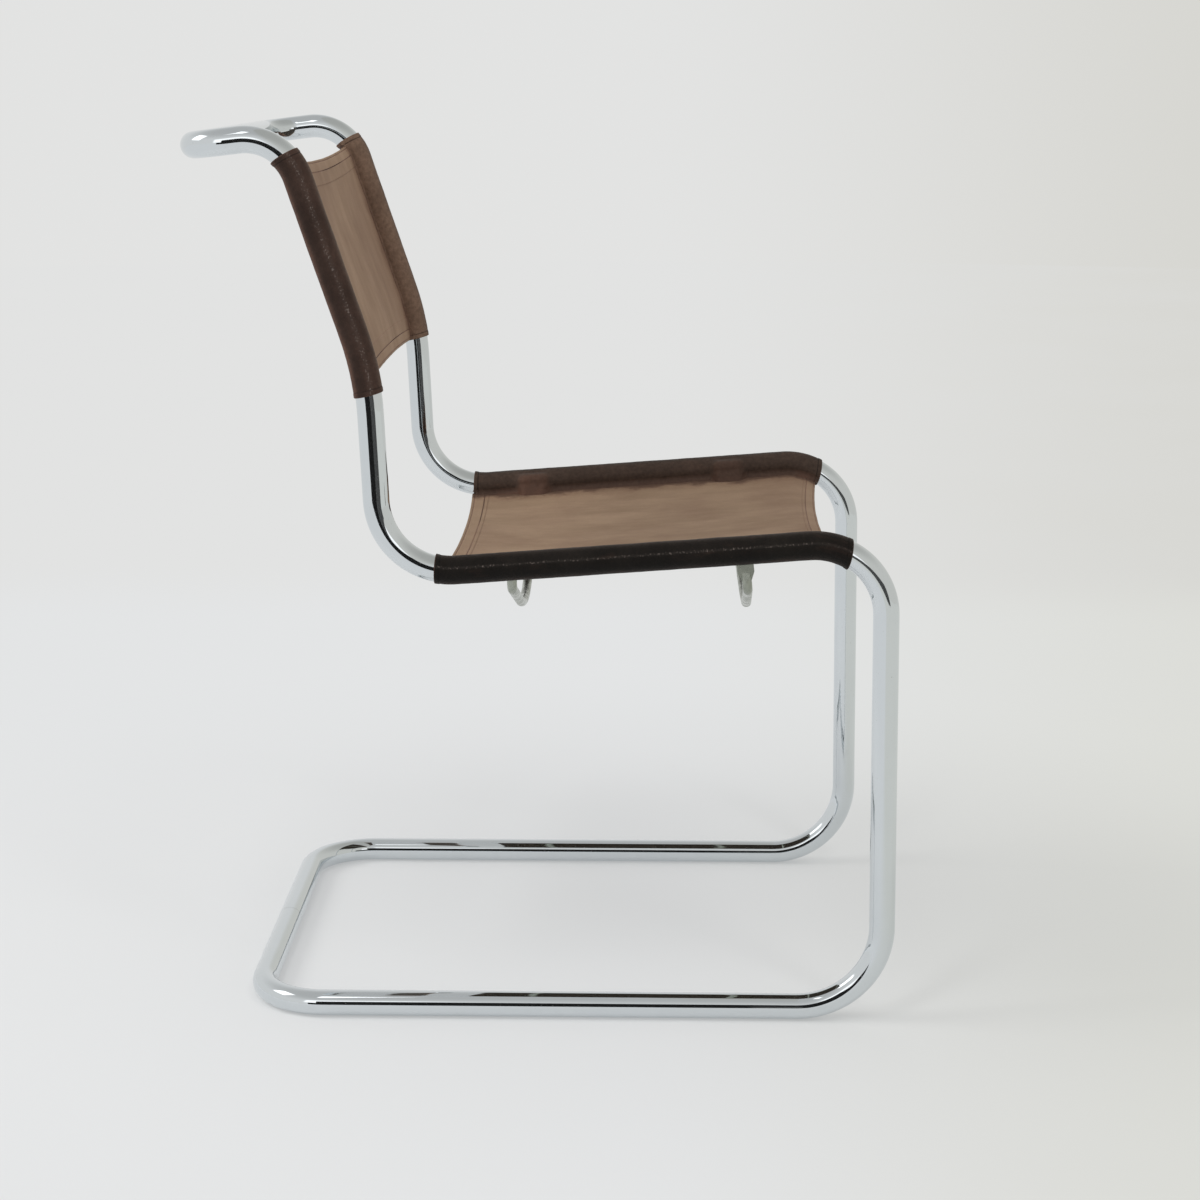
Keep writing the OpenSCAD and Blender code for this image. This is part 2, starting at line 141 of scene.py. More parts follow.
class BackSlingSizes(SlingSizes, bpy.types.PropertyGroup):
    sag_radius: length("Sag", "Radius of the panel's hang between the uprights", 5)
    flap_rise: length("Flap rise", "Distance of the flap in front of the rearmost line of its sleeve", 0.0054)
    first_wrap: turn("Bottom wrap", "How far the sleeve runs down the bend of the back", 12)
    last_wrap: turn("Top wrap", "How far the sleeve runs round the head bend", 28)
    short: turn("Short", "How far the panel stops short of its sleeve", 7)
    first_hollow: length("Bottom hollow", "Depth of the hollow in the bottom edge", 0.0055)
    last_hollow: length("Top hollow", "Depth of the hollow in the top edge", 0.006)
    first_taut: number("Bottom hem", "Share of the hang the bottom hem takes up", 0.6)
    last_taut: number("Top hem", "Share of the hang the top hem takes up", 0.6)
    skew: length("Skew", "How much lower the sling sits on the sitter's left", 0)
    lip: length("Lip", "How far the sleeve's inner edge lies on the panel", 0.004)
    glint: length("Glint", "Half width of the glinting line along a sleeve", 0.0022)
    hem: length("Hem", "Width of the folded hem", 0.026)


class PocketSizes(bpy.types.PropertyGroup):
    front_place: length("Front tab", "Rear seat corner to the front stretcher", 0.343)
    rear_place: length("Rear tab", "Rear seat corner to the rear stretcher", 0.123)
    reach: length("Reach", "Centre line of the rail to the outside of the leather over a tab", 0.0195)
    half_height: length("Half height", "Height of the leather over a tab above the rail's centre line", 0.0112)
    half_width: length("Half width", "Half the width of the leather over a tab", 0.0095)
    slope: number("Slope", "How the leather under a tab slopes out to the panel", 0.4)
    blend: length("Blend", "Length over which the swelling over a tab runs out", 0.013)


class ChairColours(bpy.types.PropertyGroup):
    chrome: colour("Chrome", "Polished plating of the frame", (0.71, 0.745, 0.765))
    haze: colour("Haze", "Hazy film on the chrome", (0.62, 0.66, 0.68))
    pits: colour("Pits", "Small spots in the chrome", (0.32, 0.31, 0.29))
    rod: colour("Rod", "Dull plating of the stretchers", (0.40, 0.42, 0.37))
    rod_spots: colour("Rod spots", "Yellower patches of the stretchers", (0.24, 0.25, 0.2))
    steel: colour("Steel", "Screws and spigot", (0.33, 0.33, 0.34))
    steel_spots: colour("Steel spots", "Browner patches of the screws and the spigot", (0.22, 0.20, 0.18))
    seat_panel: colour("Seat panel", "Worn face of the seat", (0.298, 0.202, 0.130))
    back_panel: colour("Back panel", "Worn face of the back", (0.350, 0.232, 0.152))
    # the stains' colour, also used for the painted shade in the hems' grooves
    stain_and_shade: colour("Stain", "Darker, redder places in the panels", (0.145, 0.072, 0.050))
    # painted shade: the near-black colour of the panels' undersides
    painted_shade_underside: colour("Underside", "Dark backing of both panels", (0.020, 0.019, 0.016))
    seat_outer: colour("Seat sleeves outside", "Dark leather on the outside of the rails", (0.0095, 0.0075, 0.006))
    seat_inner: colour("Seat sleeves inside", "Rubbed leather on the inside of the seat rails", (0.062, 0.041, 0.031))
    back_outer: colour("Back sleeves outside", "Dark leather on the outside of the uprights", (0.041, 0.0235, 0.0175))
    back_inner: colour("Back sleeves inside", "Rubbed leather on the inside of the uprights", (0.185, 0.118, 0.082))
    worn: colour("Worn leather", "Rubbed brown places of the sleeves", (0.125, 0.062, 0.042))
    # painted highlight: the colour of the glinting line painted along the outside of the sleeves
    glint: colour("Glint", "Dusty line along the outside of the sleeves", (0.30, 0.24, 0.21))
    thread: colour("Thread", "Sewing thread", (0.085, 0.045, 0.035))
    # painted shade: floor and wall are darker and warmer towards the picture's right, away from the window lamp
    floor_left: colour("Floor left", "Studio floor on the picture's left", (0.775, 0.785, 0.79))
    floor_right: colour("Floor right", "Studio floor on the picture's right", (0.712, 0.716, 0.674))
    room_left: colour("Room left", "Studio wall on the picture's left", (0.765, 0.768, 0.762))
    room_right: colour("Room right", "Studio wall on the picture's right", (0.672, 0.668, 0.632))


class StudioSettings(bpy.types.PropertyGroup):
    eye: FloatVectorProperty(name="Eye", description="Place of the camera", subtype="TRANSLATION",
                             default=(-2.4635, -0.0944, 0.915))
    look: FloatVectorProperty(name="Look", description="Direction the camera looks", subtype="DIRECTION",
                              default=(0.97588, 0.01908, -0.21746))
    roll: turn("Roll", "Roll of the camera", 0.04)
    lens: number("Lens", "Focal length in millimetres", 72.474)
    sensor: number("Sensor", "Width of the sensor in millimetres", 36)


# How the leather looks: dye from the sleeves on the panel, as its width and blur in metres, the worn share of the
# sleeves all round, and the share of the paler band behind, which is worn leather and partly a painted sheen
SLING_LOOKS = {"seat": {"dye": (0.0135, 0.0075), "worn": 0.38, "rear": 0.12},
               "back": {"dye": (0.005, 0.002), "worn": 0.5, "rear": 0.95}}

# Name, lowest and highest y and z, and grey of the screens beside the camera, which the chrome shows as
# its thin dark lines
SCREENS = (("screen_high", (-0.45, 0.6), (0.95, 1.25), 0.006),
           ("screen_low", (-0.3, 0.0), (1.45, 0.6), 0.006),
           ("screen_front", (-2.2, 0.05), (-0.3, 0.65), 0.09))

# Name, place, target, size, power in watts and tint
LAMPS = (("window", (-0.3, 2.9, 2.5), (0, -0.1, 0.3), (1.6, 1.6), 46, (1, 0.99, 0.97)),
         ("ceiling_left", (-1.4, 0.6, 2.9), (-0.2, 0, 0.4), (0.35, 1.3), 11, (1, 1, 1)),
         ("ceiling_right", (-1.6, -1.1, 2.9), (-0.2, 0, 0.4), (0.35, 1.3), 9, (1, 1, 1)))

# What the chrome shows of the lamps and of a bright wall beside the camera: name, place, target, size, strength
GLOWS = (("window_glow", (-0.3, 2.9, 2.5), (0, -0.1, 0.3), (1.7, 1.7), 2.2),
         ("ceiling_glow", (-1.4, 0.7, 2.9), (-0.2, 0.1, 0.4), (0.4, 0.8), 2.0),
         ("wall_glow", (-2.65, 1.15, 1.25), (0, 1.15, 1.25), (1.9, 1.5), 1.4),
         ("front_glow", (-2.65, -0.9, 1.0), (0, -0.9, 1.0), (0.9, 0.9), 1.3))

FLOOR_RADIUS, FLOOR_SIDES = 9, 96
SCREEN_GAP = 0.05  # from the screens to the camera, which stands in front of them
SOFT_LIGHT = 0.66  # strength of the room's light on the chair


# Sizes that the meshes are drawn with, in metres where nothing else is said

PATH_PIECE = 0.035  # longest straight piece of the frame's centre line
CORNER_INSET = 0.001  # of the panel's corners from its sides
FLAP_GAP, LIP_GAP, BORE_GAP = 0.00005, 0.00003, 0.00004
HEM_FOLD = 0.0016  # width of the step from the hem to the panel
SEAM_DEPTH, SEAM_WIDTH = 0.00042, 0.0007
ROLL_DEPTH, ROLL_WIDTH = 0.00030, 0.0006
DYED_POCKET, DYED_LENGTH = 0.009, 0.017  # how much further the dye reaches round a pocket, and over what length
RIM, RIM_RUN, RIM_HEIGHT = 0.0046, 0.0012, 0.00035  # folded end of a sleeve: width, its step, height
RIM_SEAM, RIM_SEAM_DEPTH, RIM_SEAM_WIDTH = 0.005, 0.0003, 0.0005
LIP_START, LIP_RISE, LIP_CURVE = math.radians(196), 0.00045, 0.62
FREE_END, FREE_RUN = math.radians(215), 0.4  # where the outside of a sleeve ends, and the turn over which it does
# angles round a sleeve of the painted highlight line and of the painted dark reflection band
GLINT_AT, DARK_REFLECTION_AT, DARK_REFLECTION_WIDTH = math.radians(19), math.radians(-20), math.radians(24)
BEHIND_AT, BEHIND_WIDTH = math.radians(-30), math.radians(30)
FLAP_END, FLAP_STUB, FLAP_ROUND = 0.005, 0.0004, 0.0003  # a flap's run-out, what is left beyond it, its edge
RUBBED_SWELL = 0.005  # swelling over a tab at which the leather is rubbed all over
LIP_INSET, LIP_RUN = 0.0005, 0.004  # where the lip starts in from the panel's edge, and over what length it rises
NORMAL_STEP = 0.001  # from a seam's point to the point above it that gives its normal
THREAD_SINK, THREAD_OFF = 0.00025, 0.0001

# Rows of points: about a seam or a fold, in from a panel's edge, and in from a sleeve's end
ABOUT_SEAM = np.array([-1.6, -1, -0.7, -0.45, -0.2, 0, 0.2, 0.45, 0.7, 1, 1.6]) / 1000
FROM_EDGE = np.array([0, 0.08, 0.25, 0.5, 0.8, 1.2, 1.7]) / 1000
FROM_END = np.array([0, 0.1, 0.3, 0.6, 1, 1.8, 2.8, 3.6, 4.2, 4.6, 5, 5.4, 5.8, 6.6, 8]) / 1000


# The side view: rails, and what hangs between them


class Rail:
    """A straight run of a side tube with the bends before and after it, in the side view.

    s runs along the centre line from the end of the bend before; n is off it, towards the sitter.
    """

    def __init__(self, corners, radii, i):
        before, here, after, beyond = corners[i - 1:i + 3]
        ahead, back, onward = unit(after - here), unit(before - here), unit(beyond - after)
        self.heading = ahead
        self.normal = np.array([-ahead[1], ahead[0]])
        self.start = here + ahead * setback(back, ahead, radii[0])
        end = after - ahead * setback(-ahead, onward, radii[1])
        self.length = float(np.linalg.norm(end - self.start))
        self.to_corner = float(np.linalg.norm(after - here)) - float(np.linalg.norm(self.start - here))
        # a bend whose centre is on the sitter's side has a positive radius
        self.before = math.copysign(radii[0], float(back @ self.normal))
        self.after = math.copysign(radii[1], float(onward @ self.normal))

    def flat(self, s, n):
        """Offsets along the normal and along the run of the points s along and n off the centre line."""
        s, n = np.broadcast_arrays(np.asarray(s, float), np.asarray(n, float))
        off, along = n.copy(), s.copy()
        for radius, out, way, end in ((self.before, s < 0, -1, 0.0), (self.after, s > self.length, 1, self.length)):
            angle = np.abs(s - end) / abs(radius)
            off = np.where(out, radius + (n - radius) * np.cos(angle), off)
            along = np.where(out, end + way * np.abs(n - radius) * np.sin(angle), along)
        return off, along

    def place(self, x, off, along):
        """The point in space at x across, off along the normal and along the run."""
        side = (self.start + np.asarray(along)[..., None] * self.heading
                + np.asarray(off)[..., None] * self.normal)
        x = np.broadcast_to(x, side.shape[:-1])
        return np.stack([x, side[..., 0], side[..., 1]], axis=-1)


def unit(v):
    return v / np.linalg.norm(v)


def setback(back, ahead, radius):
    """Distance from a corner to where its bend starts."""
    return radius / math.tan(math.acos(float(back @ ahead)) / 2)


def side_corners(tube):
    """Corners of one side's centre line in the side view, from the rear floor rail to the head rail."""
    corners = [np.array([0.0, tube.diameter / 2])]
    corners.append(corners[0] - np.array([tube.runner_run, 0]))
    for move in (tube.leg, tube.seat, tube.lower_back, tube.upper_back, tube.head):
        corners.append(corners[-1] + np.array(move))
    shift = TUBE_BOX[1].y - corners[-1][0] - tube.diameter / 2
    return [corner + np.array([shift, 0]) for corner in corners]


def rails(tube):
    """The seat rail and the upper back of one side, by the names of their slings."""
    corners = side_corners(tube)
    return {"seat": Rail(corners, (tube.knee_radius, tube.hip_radius), 2),
            "back": Rail(corners, (tube.back_radius, tube.head_radius), 4)}


def loop_path(tube):
    """Centre line of the whole frame tube, from one end of its joint to the other."""
    side = tube.spacing / 2
    near = [np.array([side, *corner]) for corner in side_corners(tube)]
    half = [near[0] * (0, 1, 1) + (tube.joint / 2, 0, 0), *near, near[-1] * (0, 1, 1)]
    radii = (tube.floor_radius, tube.foot_radius, tube.knee_radius, tube.hip_radius, tube.back_radius,
             tube.head_radius, tube.crown_radius)
    points = [half[0]]
    for before, here, after, radius in zip(half, half[1:], half[2:], radii):
        points += bend_points(before, here, after, radius)
    points.append(half[-1])
    spaced = [points[0]]
    for a, b in zip(points, points[1:]):
        pieces = max(1, round(float(np.linalg.norm(b - a)) / PATH_PIECE))
        spaced += [a + (b - a) * k / pieces for k in range(1, pieces + 1)]
    right = np.array(spaced)
    return np.concatenate([right, right[-2::-1] * (-1, 1, 1)])


def bend_points(before, here, after, radius, step=math.radians(3)):
    """Points round a bend at a corner of the centre line."""
    back, ahead = unit(before - here), unit(after - here)
    start = here + back * setback(back, ahead, radius)
    half = math.acos(float(back @ ahead)) / 2
    centre = here + unit(back + ahead) * radius / math.sin(half)
    turned = np.linspace(0, math.pi - 2 * half, math.ceil((math.pi - 2 * half) / step) + 1)
    return [centre + (start - centre) * math.cos(a) - back * radius * math.sin(a) for a in turned]


class Sling:
    """A panel and its sleeves on two rails: where the panel hangs, and where its edges are."""

    def __init__(self, rail, tube, sizes):
        self.rail, self.sizes = rail, sizes
        self.tube_radius = tube.diameter / 2
        self.side = tube.spacing / 2
        self.sleeve_radius = self.tube_radius + sizes.sleeve
        self.face = sizes.flap_rise + sizes.sleeve + sizes.panel - self.sleeve_radius
        self.edge = self.side - sizes.edge_gap - math.sqrt(self.sleeve_radius ** 2 - self.face ** 2)
        self.corner = self.edge - CORNER_INSET
        self.axis = self.face + math.sqrt(sizes.sag_radius ** 2 - self.edge ** 2)

    def hang(self, x, off):
        """Level of the panel x across, where it would lie at off without its sag."""
        radius = self.sizes.sag_radius + self.face - off
        return self.axis - np.sqrt(radius ** 2 - np.asarray(x) ** 2)

    def lift(self, x, s):
        """How much the hems hold the panel up from its hang."""
        sizes, held = self.sizes, 0
        for last, share in ((False, sizes.first_taut), (True, sizes.last_taut)):
            held = held + share * np.exp(-np.abs(s - self.edge_at(x, last)) / sizes.taut_run)
        return held * np.maximum(self.edge ** 2 - np.asarray(x) ** 2, 0) / (2 * sizes.sag_radius)

    def point(self, x, s, n):
        off, along = self.rail.flat(s, n + self.lift(x, s))
        return self.rail.place(x, self.hang(x, off), along)

    def sleeve_point(self, x, s, n, lean=None):
        """A point of a sleeve, which reaches further round on the inside of a bend than on its outside."""
        rail, lean = self.rail, self.sizes.slant * (n if lean is None else lean)
        s = np.where(s < 0, s * (1 + lean / rail.before), s)
        s = np.where(s > rail.length, rail.length + (s - rail.length) * (1 + lean / rail.after), s)
        off, along = rail.flat(s, n)
        return rail.place(x, off, along)

    def edge_at(self, x, last):
        """Where the first or last edge of the panel is, in s, x across."""
        sizes, rail = self.sizes, self.rail
        bend = rail.after if last else rail.before
        wrap = sizes.last_wrap - sizes.short if last else sizes.first_wrap
        depth = sizes.last_hollow if last else sizes.first_hollow
        reach = abs(bend - self.face)
        radius = (self.corner ** 2 + depth ** 2) / (2 * depth)
        inward = depth - radius + np.sqrt(radius ** 2 - np.asarray(x) ** 2)
        past = reach * math.sin(wrap) - inward
        curved = np.arcsin(np.clip(past / reach, 0, 1)) * abs(bend)
        past = np.where(past > 0, curved, past)
        return (rail.length + past if last else -past) - sizes.skew * np.asarray(x) / self.corner


# Meshes of the panels and the sleeves


def ease(x):
    x = np.clip(x, 0, 1)
    return x * x * (3 - 2 * x)


def bell(x, width):
    return np.exp(-(x / width) ** 2)


def rounding(d, depth):
    """A quarter circle from 0 at an edge to 1 at depth from it."""
    return np.sqrt(np.clip(1 - (1 - np.clip(d / depth, 0, 1)) ** 2, 0, 1))


def ripple(points, height, size, seed, stretch=(1, 1, 1)):
    """Smooth noise up to height at points, with features of about size."""
    flat = (points * np.array(stretch)).reshape(-1, 3) / size + seed * 17.3
    return height * np.array([noise.noise(Vector(p)) for p in flat]).reshape(points.shape[:-1])


def linked(name, mesh):
    """Puts a mesh in the scene."""
    obj = bpy.data.objects.new(name, mesh)
    bpy.context.scene.collection.objects.link(obj)
    return obj


def new_mesh(name, verts, faces, uv, marks, crease):
    """A smooth-shaded object from its points, faces, a flat map in metres and named marks per point."""
    mesh = bpy.data.meshes.new(name)
    mesh.from_pydata(verts.tolist(), [], faces)
    layer = mesh.uv_layers.new(name="flat")
    loops = np.zeros(len(mesh.loops), np.int32)
    mesh.loops.foreach_get("vertex_index", loops)
    layer.data.foreach_set("uv", uv[loops].astype(np.float32).ravel())
    for key, values in marks.items():
        mesh.attributes.new(key, "FLOAT", "POINT").data.foreach_set("value", values.astype(np.float32).ravel())
    mesh.polygons.foreach_set("use_smooth", np.ones(len(mesh.polygons), bool))
    mesh.update()
    mesh.set_sharp_from_angle(angle=math.radians(crease))
    obj = linked(name, mesh)
    recalculate(obj)
    return obj


def recalculate(obj):
    """Turns all faces of a closed piece outwards."""
    bm = bmesh.new()
    bm.from_mesh(obj.data)
    bmesh.ops.recalc_face_normals(bm, faces=bm.faces)
    bm.to_mesh(obj.data)
    bm.free()


def grid_faces(grid, flip=False, closed=False):
    """Faces between the rows and columns of a grid of point numbers, and from the last column to the first."""
    if closed:
        grid = np.concatenate([grid, grid[:, :1]], axis=1)
    quads = [grid[:-1, :-1], grid[:-1, 1:], grid[1:, 1:], grid[1:, :-1]]
    return np.stack(quads[::-1] if flip else quads, axis=-1).reshape(-1, 4).tolist()


def hem_steps(sizes, apart=0.0015, least=0.00012):
    """Rows of a hem, as distances from its edge, close together at its edge, roll, seam and fold."""
    steps = [FROM_EDGE, np.arange(3 * apart, sizes.hem + 6 * apart, apart)]
    steps += [at + ABOUT_SEAM for at in (sizes.hem_roll, sizes.hem_stitch, sizes.hem)]
    steps = np.unique(np.round(np.concatenate(steps), 6))
    return steps[np.append(True, np.diff(steps) > least)]


def half_thickness(sizes, x, d):
    """Half the panel's thickness: rounded at its edge, swollen over the hem, drawn in by the seam and the roll."""
    body = sizes.panel / 2
    swollen = body + sizes.hem_swell
    half = swollen + (body - swollen) * ease((d - sizes.hem + HEM_FOLD / 2) / HEM_FOLD)
    half = half * rounding(d, swollen)
    pulls = 0.55 + 0.45 * np.cos(2 * math.pi * x / sizes.stitch)
    half = half - SEAM_DEPTH * bell(d - sizes.hem_stitch, SEAM_WIDTH) * pulls
    return half - ROLL_DEPTH * bell(d - sizes.hem_roll, ROLL_WIDTH)


def panel_waves(x, s, d, to_side):
    """What keeps a panel from being quite flat: slow waves, and puckers along the hems and the sleeves."""
    at = np.stack([x, s, np.zeros_like(s)], axis=-1)
    fixed = ease(to_side / 0.03)
    wave = ripple(at, height=0.0011, size=0.11, seed=1) * fixed
    wave += ripple(at, height=0.0005, size=0.022, seed=2, stretch=(1, 0.45, 1)) * np.exp(-d / 0.02) * fixed
    along_sleeves = np.exp(-to_side / 0.025)
    wave += (ripple(at, height=0.00035, size=0.014, seed=3, stretch=(0.4, 1, 1)) * along_sleeves
             * ease(to_side / 0.004))
    return wave


def panel_piece(name, sling, pockets=None, across=200, along=120):
    """The panel between the rails, a closed sheet with folded and stitched hems at its first and last edge."""
    sizes = sling.sizes
    u = np.linspace(-1, 1, across)
    # a little closer together near the sleeves
    x = sling.edge * np.sign(u) * (1 - (1 - np.abs(u)) ** 1.15)
    first, last = sling.edge_at(x, False), sling.edge_at(x, True)
    steps = hem_steps(sizes)
    start, end = first + steps[-1], last - steps[-1]
    s = np.array([first + d for d in steps]
                 + [start + (end - start) * t for t in np.linspace(0, 1, along)[1:-1]]
                 + [last - d for d in steps[::-1]])
    x = np.broadcast_to(x, s.shape)
    d = np.minimum(s - first, last - s)
    to_side = sling.edge - np.abs(x)
    half = half_thickness(sizes, x, d)
    middle = sling.face - sizes.panel / 2 + panel_waves(x, s, d, to_side)
    top, under = sling.point(x, s, middle + half), sling.point(x, s, middle - half)

    # the first and last rows of both faces are one row
    def both(values, count=1):
        return np.concatenate([values.reshape(-1, count), values[1:-1].reshape(-1, count)])

    verts = both(top, 3)
    verts[s.size:] = under[1:-1].reshape(-1, 3)
    upper = np.arange(s.size).reshape(s.shape)
    lower = upper.copy()
    lower[1:-1] = s.size + np.arange(s[1:-1].size).reshape(s[1:-1].shape)
    faces = grid_faces(upper) + grid_faces(lower, flip=True)
    for col, flip in ((0, False), (across - 1, True)):
        for k in range(len(s) - 1):
            ring = [upper[k, col], upper[k + 1, col], lower[k + 1, col], lower[k, col]]
            ring = [int(v) for i, v in enumerate(ring) if v not in ring[:i]]
            faces.append(ring[::-1] if flip else ring)

    dyed = to_side
    for at in tab_places(sling, pockets):
        dyed = dyed - DYED_POCKET * bell(s - at, DYED_LENGTH)
    below = np.zeros(len(verts))
    below[s.size:] = 1
    marks = {"edge": both(d), "to_side": both(dyed), "under": below}
    return new_mesh(name, verts, faces, both(np.stack([x, s], axis=-1), 2), marks, crease=40)


def tab_places(sling, pockets):
    """Where the stretchers' tabs are along the rail, in s, if it has any."""
    return [sling.rail.to_corner - place for place in (pockets.front_place, pockets.rear_place)] if pockets else []


def sleeve_rows(start, end, tabs, least=0.00009):
    """Places along a sleeve, close together at its ends and about the tabs."""
    rows = [start + FROM_END, end - FROM_END, np.arange(start + 0.010, end - 0.009, 0.003)]
    rows += [at + np.arange(-0.018, 0.0181, 0.0015) for at in tabs]
    rows = np.unique(np.round(np.concatenate(rows), 6))
    keep = [rows[0]]
    for row in rows[1:]:
        if row - keep[-1] > least:
            keep.append(row)
    return np.array(keep)


def lip_outline(sling, along=9, back=4):
    """The sleeve's inner edge as it leaves the tube and lies on the panel, across and off the rail's centre."""
    radius, face = sling.sleeve_radius, sling.face
    leave = radius * np.array([math.cos(LIP_START), math.sin(LIP_START)])
    down = np.array([-math.sin(LIP_START), math.cos(LIP_START)])
    meet = -math.sqrt(radius ** 2 - face ** 2)
    tip_p = meet - sling.sizes.lip
    tip = np.array([tip_p, float(sling.hang(sling.side + tip_p, face)) + LIP_RISE])
    control = leave + down * LIP_CURVE * (leave[1] - face)
    t = np.linspace(0, 1, along)[:, None]
    upper = leave * (1 - t) ** 2 + control * 2 * t * (1 - t) + tip * t ** 2
    p = np.linspace(tip_p - 0.0001, meet, back)
    return np.concatenate([upper, np.stack([p, sling.hang(sling.side + p, face + LIP_GAP)], axis=1)])


def flap_root(sling, level):
    """Where a flap's face that lies at level at the panel's edge leaves the sleeve."""
    n = level
    for _ in range(4):
        p = -math.sqrt(sling.sleeve_radius ** 2 - n ** 2)
        n = float(sling.hang(sling.side + p, level))
    return p, n


def over_tab(pockets, face, angles, rests):
    """How far from the rail's centre the leather over a tab lies; it has a tab on the inner side only."""
    cos, sin = np.abs(np.cos(angles)), np.abs(np.sin(angles))
    high = np.sin(angles) > 0
    power = np.where(high, 3.0, 5.0)
    depth = np.where(high, pockets.half_height, -1.3 * face)
    inner = ((cos / pockets.reach) ** power + (sin / depth) ** power) ** (-1 / power)
    # from the rail's middle down to the panel the leather slopes out
    inner = np.where(rests, pockets.reach / np.maximum(cos - pockets.slope * sin, 0.5), inner)
    return np.where(np.cos(angles) < 0, inner, 0)


def over_tabs(sling, pockets, s, r, angles, rests):
    """A sleeve's wall, r off the rail's centre, swollen over the tabs, and how rubbed it is there."""
    rub = np.zeros_like(r)
    for at in tab_places(sling, pockets):
        across = ease((pockets.half_width + pockets.blend - np.abs(s - at)) / pockets.blend)
        gain = across * np.maximum(over_tab(pockets, sling.face, angles, rests) - r, 0)
        r = r + gain
        rub = np.maximum(rub, ease(gain / RUBBED_SWELL))
    return r, rub


def flap_points(sling, hand, s, out, upper, lower, under):
    """A flap: out along its upper face, round its edge and back along its lower face.

    It leaves the sleeve at upper and lower, and its upper face would lie at under without the sag.
    """
    sizes, rail = sling.sizes, sling.rail
    full = ease((s - sizes.flap_inset) / FLAP_END) * ease((rail.length - sizes.flap_inset - s) / FLAP_END)
    reach = sling.edge - sizes.flap - (sling.side + upper[0])
    reach = FLAP_STUB * (reach / abs(reach)) * (1 - full) + reach * full
    lower_face = np.repeat([False, True], len(out) // 2)
    x = sling.side + np.where(lower_face, lower[0], upper[0]) + reach * out
    x = np.where(out == 1, x + FLAP_ROUND, x)
    level = sling.hang(x, np.where(lower_face, under - sizes.sleeve, under)) + sling.lift(x * hand, s)
    level = level * full + np.where(lower_face, lower[1], upper[1]) * (1 - full)
    return sling.sleeve_point(x, s, level)


def shell_faces(shape):
    """Faces of a sheet round a rail, from its outside's and its inside's rows of points, closed at its ends."""
    a = np.arange(shape[0] * shape[1]).reshape(shape)
    b = a + a.size
    return (grid_faces(a, closed=True) + grid_faces(b, flip=True, closed=True)
            + grid_faces(np.stack([a[0], b[0]]), flip=True, closed=True)
            + grid_faces(np.stack([a[-1], b[-1]]), closed=True))


